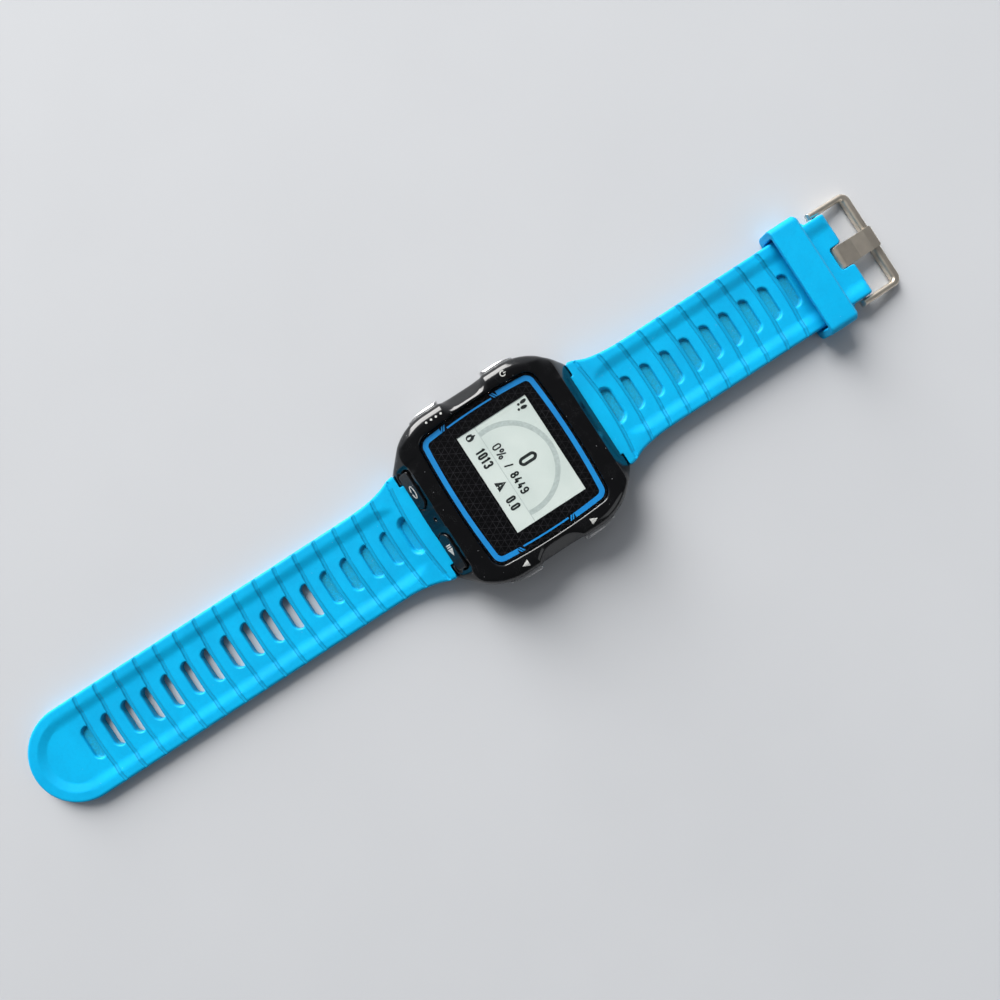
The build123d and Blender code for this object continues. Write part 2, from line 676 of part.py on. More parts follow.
def pin_screws(y):
    """One screw in each end of a strap pin, its head in the lug's outer face."""
    made = []
    for side in (-1, 1):
        one = screw_head(1.3, 0.8, 0.7) + Pos(0, 0, 2.6) * Cylinder(0.48, 3.8)
        plane = Plane(origin=(side * (PIN_HALF + 0.9), y, PIN_Z), z_dir=(-side, 0, 0))
        made.append(plane * one)
    return made


# ---------------------------------------------------------------- strap halves
# Both halves are drawn towards +Y, as (x, s) in plan and (s, z) from the side,
# where s is the distance from the case's centre. The long half is then mirrored.

def strap_levels(flat_z):
    """Top and underside of a strap half in side view, from the knuckle to the straight stretch."""
    start = radians(15)
    top_start = (PIN_Y + KNUCKLE_R * sin(start), PIN_Z + KNUCKLE_R * cos(start))
    low_start = (PIN_Y, PIN_Z - KNUCKLE_R)
    top_z = flat_z + STRAP_T
    top_fall = 7.1 - top_z
    low_fall = low_start[1] - flat_z
    top = Spline(
        top_start, (34.0, top_z + 0.42 * top_fall), (41.5, top_z + 0.13 * top_fall), (FLAT_S, top_z),
        tangents=[(cos(start), -sin(start)), (1, 0)],
    )
    low = Spline(
        low_start, (34.0, flat_z + 0.62 * low_fall), (41.5, flat_z + 0.2 * low_fall), (FLAT_S, flat_z),
        tangents=[(1, 0), (1, 0)],
    )
    return top, low


def strap_side(flat_z, end_s):
    """Side view of a strap half with its knuckle."""
    top, low = strap_levels(flat_z)
    face = make_face([
        top,
        Line((FLAT_S, flat_z + STRAP_T), (end_s, flat_z + STRAP_T)),
        Line((end_s, flat_z + STRAP_T), (end_s, flat_z)),
        Line((end_s, flat_z), (FLAT_S, flat_z)),
        low,
        Line((PIN_Y, PIN_Z - KNUCKLE_R), (PIN_Y, PIN_Z)),
        Line((PIN_Y, PIN_Z), top @ 0),
    ])
    return face + Pos(PIN_Y, PIN_Z) * Circle(KNUCKLE_R)


def strap_plan(end_s, half, round_tip):
    """Plan of a strap half: flared shoulders, straight sides, and a round tip on the long half."""
    flare = Spline(
        (SHOULDER_HALF, 27.2), (half + 1.5, 31.2), (half + 0.42, 36.0), (half, 43.0),
        tangents=[(0, 1), (0, 1)],
    )
    turn_s = end_s - half if round_tip else end_s
    right = [
        Line((0, SHOULDER_S), (SHOULDER_HALF, SHOULDER_S)),
        Line((SHOULDER_HALF, SHOULDER_S), (SHOULDER_HALF, 27.2)),
        flare,
        Line((half, 43.0), (half, turn_s)),
    ]
    if round_tip:
        bend = radians(45)
        right.append(ThreePointArc((half, turn_s), (half * cos(bend), turn_s + half * sin(bend)), (0, end_s)))
    else:
        right.append(Line((half, end_s), (0, end_s)))
    right.append(Line((0, end_s), (0, SHOULDER_S)))
    face = make_face(right)
    return face + mirror(face, Plane.YZ)


def strap_blank(flat_z, end_s, half, round_tip):
    """A strap half with its long edges rolled over, before its channel, slots and grooves."""
    side = strap_side(flat_z, end_s)
    plan = Pos(0, 0, -2) * extrude(strap_plan(end_s, half, round_tip), 14)
    blank = side_prism(side, SHOULDER_HALF + 1) & plan
    rim = []
    for edge in blank.edges():
        middle, heading = edge @ 0.5, edge % 0.5
        if abs(middle.X) > 10 and abs(heading.X) < 0.9 and abs(heading.Z) < 0.9:
            rim.append(edge)
        elif round_tip and middle.Y > end_s - 0.01:
            rim.append(edge)
    blank = fillet(rim, STRAP_EDGE_R)
    knuckle = side_prism(side, LUG_INNER_X - 0.2) & box_between((-20, 0, -2), (20, SHOULDER_S, 14))
    return blank + knuckle


def knuckle_cut():
    """Takes the strap's shoulders clear of the lugs, and bores the knuckle."""
    ring = side_prism(Pos(PIN_Y, PIN_Z) * Circle(SHOULDER_R), 20)
    behind = box_between((-20, PIN_Y - 6, -2), (20, PIN_Y + 1.2, 12))
    shoulders = (ring + behind) - box_between((-LUG_INNER_X + 0.2, 0, -5), (LUG_INNER_X - 0.2, 40, 15))
    return shoulders + rod((0, PIN_Y, PIN_Z), (1, 0, 0), 0.88, -20, 20)


def floor_line(flat_z, sunk):
    """The strap's top line in side view, lowered by sunk, from s to height."""
    top, _ = strap_levels(flat_z)

    def place(s):
        if s >= FLAT_S:
            return (s, flat_z + STRAP_T - sunk), 0.0
        low, high = 0.0, 1.0
        for _ in range(30):
            mid = (low + high) / 2
            if (top @ mid).X < s:
                low = mid
            else:
                high = mid
        point, tangent = top @ low, top % low
        tilt = atan2(tangent.Y, tangent.X)
        return (point.X + sunk * sin(tilt), point.Y - sunk * cos(tilt)), degrees(tilt)

    return place


def channel_cut(flat_z, end_s, round_tip):
    """The shallow, broad channel along the strap's middle, with sloping sides."""
    place = floor_line(flat_z, CHANNEL_DEPTH)
    ramp_from, ramp_to = 29.5, 36.0
    lifted = floor_line(flat_z, -0.3)(ramp_from)[0]
    stops = [lifted, place(ramp_to)[0], place(43.0)[0], place(FLAT_S)[0]]
    dive = radians(22)
    ramp = Spline(*[(0, s, z) for s, z in stops], tangents=[(0, cos(dive), -sin(dive)), (0, 1, 0)])
    turn_s = end_s - STRAP_HALF if round_tip else end_s + 3
    path = Wire([ramp, Line((0, *stops[-1]), (0, turn_s, stops[-1][1]))])
    rise = 3.0
    slope = CHANNEL_SLOPE / CHANNEL_DEPTH
    section = [
        (-CHANNEL_HALF, 0), (CHANNEL_HALF, 0),
        (CHANNEL_HALF + slope * rise, rise), (-CHANNEL_HALF - slope * rise, rise),
    ]
    start = Plane(origin=ramp @ 0, x_dir=(1, 0, 0), z_dir=ramp % 0)
    face = start * make_face(Polyline(*[(x, -y if start.y_dir.Z < 0 else y) for x, y in section], close=True))
    cut = sweep(face, path=path)
    if round_tip:
        bowl = Cone(CHANNEL_HALF, CHANNEL_HALF + slope * rise, rise)
        cut += Pos(0, turn_s, stops[-1][1] + rise / 2) * bowl
    return cut


def slot_outline():
    """Slot in plan: flat towards the case, round-cornered on the far side, the flat edge on the X axis."""
    width, height = SLOT_SIZE
    face = Pos(0, height / 2) * Rectangle(width, height)
    far = [v for v in face.vertices() if v.Y > height / 2]
    face = fillet(far, SLOT_CORNER_R)
    near = [v for v in face.vertices() if v.Y < 0.01]
    return fillet(near, 0.35)


def slot_cuts(flat_z, first_s, pitch, count, blind):
    """Slots through the strap, or blind pockets, each with a sloping lip."""
    cuts = []
    place = floor_line(flat_z, CHANNEL_DEPTH)
    for k in range(count):
        (s, z), tilt = place(first_s + k * pitch)
        depth = POCKET_DEPTH if k in blind else 12
        hole = Pos(0, 0, -depth) * extrude(slot_outline(), depth + 3)
        lip = Pos(0, 0, -0.26) * extrude(slot_outline(), 3, taper=-45)
        cuts.append(Pos(0, s, z) * Rotation(tilt, 0, 0) * (hole + lip))
    return cuts


def groove_floor(flat_z, depth, half):
    """Everything deeper than depth below the strap's top line, half wide."""
    place = floor_line(flat_z, depth)
    stops = [place(s)[0] for s in (29.0, 32.5, 36.0, 43.0, FLAT_S, 200.0)]
    return side_prism(make_face(Polyline(*stops, (200.0, -6.0), (29.0, -6.0), close=True)), half)


def groove_cuts(flat_z, first_s, pitch, count, half, channel):
    """Fine curved grooves across the strap and its channel, one on the case's side of every slot."""
    under = groove_floor(flat_z, GROOVE_DEPTH, 20) - Pos(0, 0, -GROOVE_DEPTH) * channel
    cuts = []
    reach = half + 0.3
    for k in range(count):
        s = first_s + k * pitch - 0.62
        wide = reach + (1.6 if k == 0 else 0.6 if k == 1 else 0)
        arc = ThreePointArc((-wide, s - GROOVE_SAG), (0, s), (wide, s - GROOVE_SAG))
        strip = trace(arc, GROOVE_W)
        cuts.append((Pos(0, 0, -2) * extrude(strip, 14)) - under)
    return cuts


def strap_long():
    strap = strap_blank(0.0, LONG_TIP_S, STRAP_HALF, True) - knuckle_cut()
    channel = channel_cut(0.0, LONG_TIP_S, True)
    strap -= channel
    for cut in groove_cuts(0.0, LONG_SLOT_S, LONG_PITCH, LONG_SLOTS, STRAP_HALF, channel):
        strap -= cut
    for cut in slot_cuts(0.0, LONG_SLOT_S, LONG_PITCH, LONG_SLOTS, LONG_BLIND):
        strap -= cut
    return flip_y(strap)


def strap_short():
    strap = strap_blank(SHORT_FLAT_Z, BAR_S, STRAP_HALF - 0.2, False) - knuckle_cut()
    strap -= box_between((-20, KEEPER_S[1] + 2, 0), (20, 120, 10))
    strap += strap_end()
    channel = channel_cut(SHORT_FLAT_Z, END_STEP_S - 3, False)
    strap -= channel
    for cut in groove_cuts(SHORT_FLAT_Z, SHORT_SLOT_S, SHORT_PITCH, SHORT_SLOTS, STRAP_HALF - 0.2, channel):
        strap -= cut
    for cut in slot_cuts(SHORT_FLAT_Z, SHORT_SLOT_S, SHORT_PITCH, SHORT_SLOTS, range(SHORT_SLOTS)):
        strap -= cut
    return strap


def strap_end():
    """The thicker end of the short half: an eye round the spring bar, notched for the tang."""
    low, high = SHORT_FLAT_Z, SHORT_FLAT_Z + STRAP_T
    full_s, under_s = END_STEP_S + 2.6, KEEPER_S[1] + 1.3
    face = Pos(BAR_S, BAR_Z) * Circle(EYE_R)
    face += make_face(Polyline(
        (END_STEP_S, low), (END_STEP_S, high), (full_s, BAR_Z + EYE_R), (BAR_S, BAR_Z + EYE_R),
        (BAR_S, BAR_Z - EYE_R), (under_s + 1.8, BAR_Z - EYE_R), (under_s, low), close=True,
    ))
    end = side_prism(face, END_HALF)
    notch = box_between((-NOTCH_HALF, BAR_S - 1.9, -2), (NOTCH_HALF, BAR_S + 5, 12))
    end -= fillet(notch.edges().filter_by(Axis.Z).group_by(Axis.Y)[0], 0.8)
    tips = []
    for edge in end.edges().filter_by(GeomType.CIRCLE):
        if (edge @ 0.5).Y > BAR_S:
            tips.append(edge)
    end = fillet(tips, 0.7)
    sections = []
    for s, top in ((END_STEP_S, high), (full_s, BAR_Z + EYE_R), (BAR_S + 4, BAR_Z + EYE_R)):
        sections.append(channel_section(s, top - CHANNEL_DEPTH))
    end -= loft(sections, ruled=True)
    end -= rod((0, BAR_S, BAR_Z), (1, 0, 0), 0.88, -20, 20)
    return end


def channel_section(s, floor_z):
    """The channel's upright cross section at s."""
    rise = 2.0
    spread = CHANNEL_HALF + CHANNEL_SLOPE / CHANNEL_DEPTH * rise
    face = make_face(Polyline(
        (-CHANNEL_HALF, 0), (CHANNEL_HALF, 0), (spread, rise), (-spread, rise), close=True,
    ))
    return Pos(0, s, floor_z) * (Plane.XZ * face)


def keeper():
    """Free loop that slides along the short half and holds the strap's tail."""
    depth = KEEPER_S[1] - KEEPER_S[0]
    outer = Pos(0, KEEPER_TOP / 2) * RectangleRounded(2 * KEEPER_HALF, KEEPER_TOP, 1.7)
    low, high = SHORT_FLAT_Z - 0.2, KEEPER_TOP - 1.25
    inner = Pos(0, (low + high) / 2) * RectangleRounded(2 * (KEEPER_HALF - KEEPER_WALL), high - low, 0.8)
    loop = Pos(0, KEEPER_S[1], 0) * extrude(Plane.XZ * (outer - inner), depth)
    ends = [e for e in loop.edges().group_by(Axis.Y)[-1] if abs((e @ 0.5).X) > KEEPER_HALF - 0.05]
    return chamfer(ends, 0.9)


# ---------------------------------------------------------------- buckle

def buckle_tilt(shape):
    """Places a part drawn about the spring bar's axis, tilted so that the frame's bar rests on the table."""
    return Pos(0, BAR_S, BAR_Z) * Rotation(-FRAME_TILT, 0, 0) * shape


def buckle_frame():
    outer = Pos(0, (FRAME_REACH - 4) / 2) * Rectangle(2 * FRAME_HALF, FRAME_REACH + 4)
    outer = fillet([v for v in outer.vertices() if v.Y > 0], 2.6)
    inner_half = FRAME_HALF - FRAME_SIDE
    inner_end = FRAME_REACH - FRAME_BAR
    inner = Pos(0, (inner_end - 6) / 2) * Rectangle(2 * inner_half, inner_end + 6)
    inner = fillet([v for v in inner.vertices() if v.Y > 0], 0.9)
    frame = extrude(outer - inner, FRAME_T / 2, both=True)
    eye = side_prism(Circle(1.65) + Pos(8, 0) * Rectangle(16, FRAME_T + 0.02), FRAME_HALF + 1)
    frame &= eye
    rims = [
        e for e in frame.edges()
        if (e @ 0.5).Y > 2 and abs(abs((e @ 0.5).Z) - FRAME_T / 2) < 0.02
    ]
    frame = fillet(rims, 0.75)
    for side in (-1, 1):
        frame -= rod((0, 0, 0), (side, 0, 0), 0.5, inner_half - 1, inner_half + 1.0)
    return buckle_tilt(frame)


def buckle_tang():
    """Broad tang: a curl round the spring bar, then a plate cranked up onto the frame's bar."""
    curl_r = 1.6
    rest_z = FRAME_T / 2 + 0.05
    face = Circle(curl_r)
    face += make_face(Polyline(
        (0, curl_r), (4.6, curl_r), (8.6, rest_z + TANG_T), (FRAME_REACH - 0.9, rest_z + TANG_T),
        (FRAME_REACH - 0.4, rest_z + TANG_T - 0.4), (FRAME_REACH - 0.4, rest_z),
        (8.8, rest_z), (4.8, curl_r - TANG_T), (0, curl_r - TANG_T), close=True,
    ))
    tang = side_prism(face, TANG_HALF)
    tip = [e for e in tang.edges().filter_by(Axis.Z) if (e @ 0.5).Y > 8]
    tang = fillet(tip, 0.8)
    return buckle_tilt(tang - rod((0, 0, 0), (1, 0, 0), 0.86, -10, 10))


def spring_bar_tube():
    tube = rod((0, BAR_S, BAR_Z), (1, 0, 0), 0.8, -12.1, 12.1)
    return tube - rod((0, BAR_S, BAR_Z), (1, 0, 0), 0.5, -20, 20)


def spring_bar_tips():
    """Sprung tips at both ends of the spring bar, which click into the frame's side arms."""
    inner = FRAME_HALF - FRAME_SIDE
    return [rod((0, BAR_S, BAR_Z), (side, 0, 0), 0.45, 7.0, inner + 0.9) for side in (-1, 1)]


# ---------------------------------------------------------------- write everything

def main():
    os.makedirs(PARTS, exist_ok=True)
    nodes = {
        "front_case": front_case(),
        "rear_cover": rear_cover(),
        "case_gasket": case_gasket(),
        "case_screws": case_screws(),
        "lens": lens(),
        "lens_adhesive": lens_adhesive(),
        "lens_mask_print": mask_print(),
        "lens_accent_print": accent_print(),
        "display_panel": display_panel(),
        "display_backlight": backlight(),
        "display_flex": display_flex(),
        "mid_frame": mid_frame(),
        "main_board": main_board(),
        "board_components": board_components(),
        "processor_shield": processor_shield(),
        "gps_antenna": gps_antenna(),
        "radio_antenna": radio_antenna(),
        "battery": battery(),
        "battery_tab": battery_tab(),
        "vibration_motor": vibration_motor(),
        "buzzer_disc": buzzer(),
        "pressure_sensor": pressure_sensor(),
        "port_membrane": port_membrane(),
        "tact_switches": tact_switches(),
        "switch_brackets": switch_brackets(),
        "charging_contacts": charging_contacts(),
        "contact_carrier": contact_carrier(),
        "strap_pin_top": strap_pin(PIN_Y),
        "strap_pin_bottom": strap_pin(-PIN_Y),
        "pin_screws_top": pin_screws(PIN_Y),
        "pin_screws_bottom": pin_screws(-PIN_Y),
        "strap_long": strap_long(),
        "strap_short": strap_short(),
        "strap_keeper": keeper(),
        "buckle_frame": buckle_frame(),
        "buckle_tang": buckle_tang(),
        "spring_bar_tube": spring_bar_tube(),
        "spring_bar_tips": spring_bar_tips(),
    }
    for name in SIDE_BUTTONS + END_BUTTONS:
        nodes[name] = serrated_cap(name) if name in SIDE_BUTTONS else end_cap(name)
        nodes[name + "_seal"] = button_seal(name)
        nodes[name + "_clip"] = button_clip(name)
    for name, shape in nodes.items():
        save(name, shape)


main()
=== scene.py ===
"""Looks of a sports GPS wristwatch, lying face up with its strap open and flat.

The scene is in metres. Drawings and tests of shape are in millimetres, and MM turns them into metres.
"""

import json
from math import atan2, cos, hypot, pi, radians, sin

import bmesh
import bpy
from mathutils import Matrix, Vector
from mathutils.bvhtree import BVHTree


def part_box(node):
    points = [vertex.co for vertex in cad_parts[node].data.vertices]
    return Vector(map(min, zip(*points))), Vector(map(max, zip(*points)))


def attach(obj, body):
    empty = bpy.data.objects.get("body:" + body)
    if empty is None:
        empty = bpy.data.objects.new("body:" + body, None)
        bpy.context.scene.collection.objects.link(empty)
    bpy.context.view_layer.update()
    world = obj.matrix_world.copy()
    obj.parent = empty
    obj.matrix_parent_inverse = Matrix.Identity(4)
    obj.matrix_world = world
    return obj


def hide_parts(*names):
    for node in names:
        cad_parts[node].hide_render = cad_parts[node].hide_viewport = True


MM = 0.001

# ---- Camera: straight down on the watch, which lies turned on the table ----
CAMERA_PLACE = (4.82 * MM, -6.72 * MM, 203 * MM)
CAMERA_TURN = 57.0
CAMERA_LENS, CAMERA_SENSOR = 27.04, 36.0
CAMERA_CLIP = 5 * MM

# ---- Floor and light ----
FLOOR_HALF, FLOOR_DROP = 2.5, 0.1 * MM
SKY_COLOUR = (0.90, 0.94, 1.0, 1.0)
# The sky's strength goes from SKY_BRIGHT to SKY_DARK as a direction's x goes through SKY_SPAN.
SKY_BRIGHT, SKY_DARK = 0.95, 0.12
SKY_SPAN = (-0.95, -0.02)
WINDOW_PLACE, WINDOW_SIZE, WINDOW_POWER = (-2.16, -0.12, 1.06), (1.40, 2.08), 130.0
FILL_PLACE, FILL_SIZE, FILL_POWER = (0.45, 0.30, 0.35), (0.40, 0.40), 0.5

# ---- Printed layers: their heights, and how a mark is laid on a curved surface ----
PANEL_TOP = 11.30 * MM
GLYPH_LIFT = 0.012 * MM
MARK_LIFT = 0.03 * MM
DRAPE_FROM, DRAPE_EDGE, DRAPE_ROUNDS = 50 * MM, 0.18 * MM, 4

# ---- Display content, in millimetres on the watch face ----
DISPLAY_WIDTH = 28.6
GAUGE_MIDDLE = (-0.1, -0.15)
GAUGE_RADII = (11.3, 12.65)
RULE_Y, RULE_WIDTH = -2.05, 0.18

# ---- Repeats in the prints and on the circuit board, in millimetres ----
LATTICE_PITCH, CELL_PITCH = 1.62, 0.1395
TRACK_PITCH_X, TRACK_PITCH_Y = 0.9, 1.3

# ---- Drawing and shading ----
CORNER_STEPS, CORNER_SHARE = 8, 0.2
OVAL_POINTS = 20
BEVEL_SAMPLES = 6
CREASE_ANGLE = 28

# ---- Skin of the front case, in millimetres but for its voxels and the button gap ----
CASE_VOXEL = 0.22 * MM
CASE_SMOOTHING = 4
# The edge from the top ridge down to a lug's nose, as (|x|, |y|, z), and where its smoothing starts.
CASE_CORNER = (
    (16.4, 22.4, 12.0), (17.4, 23.7, 11.3), (18.1, 24.7, 9.9), (17.87, 25.2, 8.84), (16.44, 26.87, 6.22),
)
CORNER_LEAST = (12.9, 17.0, 3.6)
CORNER_REACH = (2.4, 4.2)
CORNER_SMOOTHING = 260
# The finger scoops lie beyond WAIST_X, within WAIST_Y of the middle and above WAIST_Z.
WAIST_X, WAIST_Y, WAIST_Z = 20.6, 6.6, 5.0
WAIST_FADE = (0.8, 0.8, 1.0)
WAIST_SMOOTHING = 170
BUTTONS = ("power_button", "mode_button", "up_button", "down_button", "back_button", "enter_button")
OPENING_REACH, OPENING_GAP = 1.6, 0.18 * MM

# ---- Skins of the strap, in millimetres but for their voxels ----
STRAP_VOXEL = 0.17 * MM
STRAP_SMOOTHING = 3
KEEPER_SMOOTHING = 8
# Each half's node, the height of its flat underside, its way along y, and its grooves' first place,
# pitch and count.
STRAP_HALVES = (
    ("strap_long", 0.0, -1, 30.95, 6.34, 17),
    ("strap_short", 1.5, 1, 31.2, 6.2, 10),
)
# A groove bows by GROOVE_SAG at GROOVE_REACH from the strap's middle line, starting GROOVE_BACK early.
GROOVE_BACK, GROOVE_SAG, GROOVE_REACH = 0.62, 1.15, 13.5
# Half a groove's width, the reach of the painted shade line along its edges, and how dark edge (painted
# shade) and floor (dirt and painted shade) are.
GROOVE_HALF, GROOVE_EDGE = 0.45, 0.16
GROOVE_EDGE_SHADE, GROOVE_FLOOR_DIRT_AND_SHADE = 0.75, 0.30
# The upper face: its least height above the flat underside, and half its width.
UPPER_HEIGHT, UPPER_HALF = 1.6, 13.2
# The channel's floor above the flat underside, and its rise towards the case.
CHANNEL_FLOOR = 2.5
RISE_HEIGHT, RISE_START, RISE_RUN, RISE_POWER = 4.1, 24, 26, 2.2
# Slots and pockets: half their width, their span along the strap, and how deep the dust and painted shade
# start in them.
POCKET_HALF, POCKET_SPAN = 5.2, (29, 136)
DUST_AND_SHADE_DEPTH, DUST_AND_SHADE_FADE = 0.55, 0.5
# The channel's sloping sides across the strap, their span along it, and what is spared round a groove.
SLOPE_BAND, SLOPE_SPAN, SLOPE_LEAST_Z = (7.4, 8.2, 10.6, 11.6), (30, 140), 1.5
SLOPE_SPARE, SLOPE_FADE = 0.75, 0.5
SLOPE_SMOOTHING = 90

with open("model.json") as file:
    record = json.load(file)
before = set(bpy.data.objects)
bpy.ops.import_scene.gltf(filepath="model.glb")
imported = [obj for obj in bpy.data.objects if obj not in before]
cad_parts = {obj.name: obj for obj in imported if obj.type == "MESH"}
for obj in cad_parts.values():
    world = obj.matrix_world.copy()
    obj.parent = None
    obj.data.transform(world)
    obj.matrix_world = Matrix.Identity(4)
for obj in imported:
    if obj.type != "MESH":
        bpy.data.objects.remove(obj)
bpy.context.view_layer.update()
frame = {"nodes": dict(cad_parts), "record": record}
nodes = frame["nodes"]


# ---------------------------------------------------------------- node helpers

class Shade:
    """A material under construction, with short names for its nodes."""

    def __init__(self, name):
        self.material = bpy.data.materials.new(name)
        self.material.use_nodes = True
        self.tree = self.material.node_tree
        self.shader = self.tree.nodes["Principled BSDF"]
        self.output = self.tree.nodes["Material Output"]
        place = self.tree.nodes.new("ShaderNodeTexCoord")
        scale = self.tree.nodes.new("ShaderNodeMapping")
        scale.inputs["Scale"].default_value = (1000, 1000, 1000)
        self.tree.links.new(place.outputs["Object"], scale.inputs["Vector"])
        self.mm = scale.outputs["Vector"]

    def link(self, source, target):
        """Joins an output socket to an input socket."""
        self.tree.links.new(source, target)

    def stretched(self, factors, turn=0.0):
        """Object millimetres, stretched for grain that runs one way."""
        mapping = self.tree.nodes.new("ShaderNodeMapping")
        mapping.inputs["Scale"].default_value = factors
        mapping.inputs["Rotation"].default_value = (0, 0, radians(turn))
        self.link(self.mm, mapping.inputs["Vector"])
        return mapping.outputs["Vector"]

    def noise(self, scale, detail, vector=None, rough=0.55):
        """Soft noise from 0 to 1, scale waves to a millimetre."""
        node = self.tree.nodes.new("ShaderNodeTexNoise")
        node.inputs["Scale"].default_value = scale
        node.inputs["Detail"].default_value = detail
        node.inputs["Roughness"].default_value = rough
        self.link(vector or self.mm, node.inputs["Vector"])
        return node.outputs["Fac"]

    def cells(self, scale, feature="F1"):
        """Distance from scattered points, scale of them to a millimetre."""
        node = self.tree.nodes.new("ShaderNodeTexVoronoi")
        node.feature = feature
        node.inputs["Scale"].default_value = scale
        self.link(self.mm, node.inputs["Vector"])
        return node.outputs["Distance"]

    def between(self, value, low, high, out_low=0.0, out_high=1.0):
        """Maps value from low..high to out_low..out_high, clamped."""
        node = self.tree.nodes.new("ShaderNodeMapRange")
        for index, number in enumerate((low, high, out_low, out_high)):
            node.inputs[index + 1].default_value = number
        self.link(value, node.inputs[0])
        return node.outputs["Result"]

    def math(self, operation, first, second=None):
        """One step of arithmetic on one or two values, which are numbers or sockets."""
        node = self.tree.nodes.new("ShaderNodeMath")
        node.operation = operation
        for index, value in enumerate((first, second)):
            if isinstance(value, (int, float)):
                node.inputs[index].default_value = value
            elif value is not None:
                self.link(value, node.inputs[index])
        return node.outputs["Value"]

    def axis(self, name):
        """X, Y or Z in object millimetres."""
        node = self.tree.nodes.new("ShaderNodeSeparateXYZ")
        self.link(self.mm, node.inputs["Vector"])
        return node.outputs[name]

    def repeat(self, value, pitch, shift):
        """Runs from 0 to 1 once in each pitch of value, moved along by shift pitches."""
        return self.math("FRACT", self.math("ADD", self.math("DIVIDE", value, pitch), shift))

    def off_middle(self, value):
        """How far value lies from a half."""
        return self.math("ABSOLUTE", self.math("SUBTRACT", value, 0.5))

    def mix(self, factor, first, second):
        """Colour mix. first and second are colours or sockets."""
        node = self.tree.nodes.new("ShaderNodeMix")
        node.data_type = "RGBA"
        self.link(factor, node.inputs[0])
        for index, value in ((6, first), (7, second)):
            if isinstance(value, tuple):
                node.inputs[index].default_value = (*value, 1.0)
            else:
                self.link(value, node.inputs[index])
        return node.outputs[2]

    def bump(self, height, strength, depth_mm, under=None):
        """A normal bumped by height, over another normal if there is one."""
        node = self.tree.nodes.new("ShaderNodeBump")
        node.inputs["Strength"].default_value = strength
        node.inputs["Distance"].default_value = depth_mm * MM
        self.link(height, node.inputs["Height"])
        if under is not None:
            self.link(under, node.inputs["Normal"])
        return node.outputs["Normal"]

    def soft_edges(self, radius_mm):
        """A normal that rounds sharp edges."""
        node = self.tree.nodes.new("ShaderNodeBevel")
        node.samples = BEVEL_SAMPLES
        node.inputs["Radius"].default_value = radius_mm * MM
        return node.outputs["Normal"]

    def attribute(self, name):
        """A value stored at the mesh's points."""
        node = self.tree.nodes.new("ShaderNodeAttribute")
        node.attribute_name = name
        return node.outputs["Fac"]

    def put(self, **sockets):
        """Sets or links Principled sockets by name, with underscores for spaces."""
        for name, value in sockets.items():
            socket = self.shader.inputs[name.replace("_", " ")]
            if isinstance(value, tuple):
                socket.default_value = (*value, 1.0)
            elif isinstance(value, (int, float)):
                socket.default_value = value
            else:
                self.link(value, socket)


def linear(red, green, blue):
    """Screen colour, 0 to 255, as linear light."""
    values = [c / 255 for c in (red, green, blue)]
    return tuple(c / 12.92 if c <= 0.04045 else ((c + 0.055) / 1.055) ** 2.4 for c in values)


# ---------------------------------------------------------------- materials

def scratches(shade, width, turns=(24, -51)):
    """Sparse hairline scratches in two directions, 1 on a scratch."""
    lines = None
    for turn in turns:
        streak = shade.noise(2.2, 2.0, shade.stretched((0.10, 6.0, 1.0), turn))
        line = shade.between(shade.off_middle(streak), 0.0, width, 1.0, 0.0)
        lines = line if lines is None else shade.math("MAXIMUM", lines, line)
    handled = shade.between(shade.noise(0.25, 2.0), 0.50, 0.62)
    return shade.math("MULTIPLY", lines, handled)


def specks(shade, scale, size, rare_above=0.60):
    """Rare specks of dust, 1 on a speck."""
    dot = shade.between(shade.cells(scale), size * 0.6, size, 1.0, 0.0)
    rare = shade.between(shade.noise(scale * 0.45, 1.0), rare_above, rare_above + 0.04)
    return shade.math("MULTIPLY", dot, rare)


def gloss_black(name, rough=0.09, edge=0.14):
    """Gloss black moulding with handling wear: hairlines, dust and a slightly uneven polish."""
    s = Shade(name)
    hair = scratches(s, 0.006)
    dust = specks(s, 0.75, 0.095, 0.53)
    polish = s.between(s.noise(0.35, 4.0), 0.35, 0.7, rough, rough + 0.07)
    colour = s.mix(s.math("MULTIPLY", dust, 0.6), (0.0022, 0.0022, 0.0026), (0.36, 0.37, 0.38))
    colour = s.mix(s.math("MULTIPLY", hair, 0.08), colour, (0.30, 0.31, 0.33))
    s.put(Base_Color=colour, Roughness=s.math("ADD", polish, s.math("MULTIPLY", hair, 0.25)))
    s.put(Specular_IOR_Level=0.5)
    wave = s.bump(s.noise(0.6, 2.0), 0.10, 0.05, s.soft_edges(edge))
    s.put(Normal=s.bump(s.noise(9.0, 3.0), 0.06, 0.012, wave))
    return s.material


def matte_moulding(name, colour):
    """Spark-textured moulding, for the case back and inner frames."""
    s = Shade(name)
    mottle = s.between(s.noise(0.5, 4.0), 0.3, 0.7)
    lighter = tuple(c * 1.35 + 0.004 for c in colour)
    s.put(Base_Color=s.mix(mottle, colour, lighter), Specular_IOR_Level=0.45)
    s.put(Roughness=s.between(s.noise(3.0, 3.0), 0.3, 0.7, 0.47, 0.63))
    s.put(Normal=s.bump(s.noise(11.0, 2.0), 0.5, 0.03, s.soft_edges(0.12)))
    return s.material


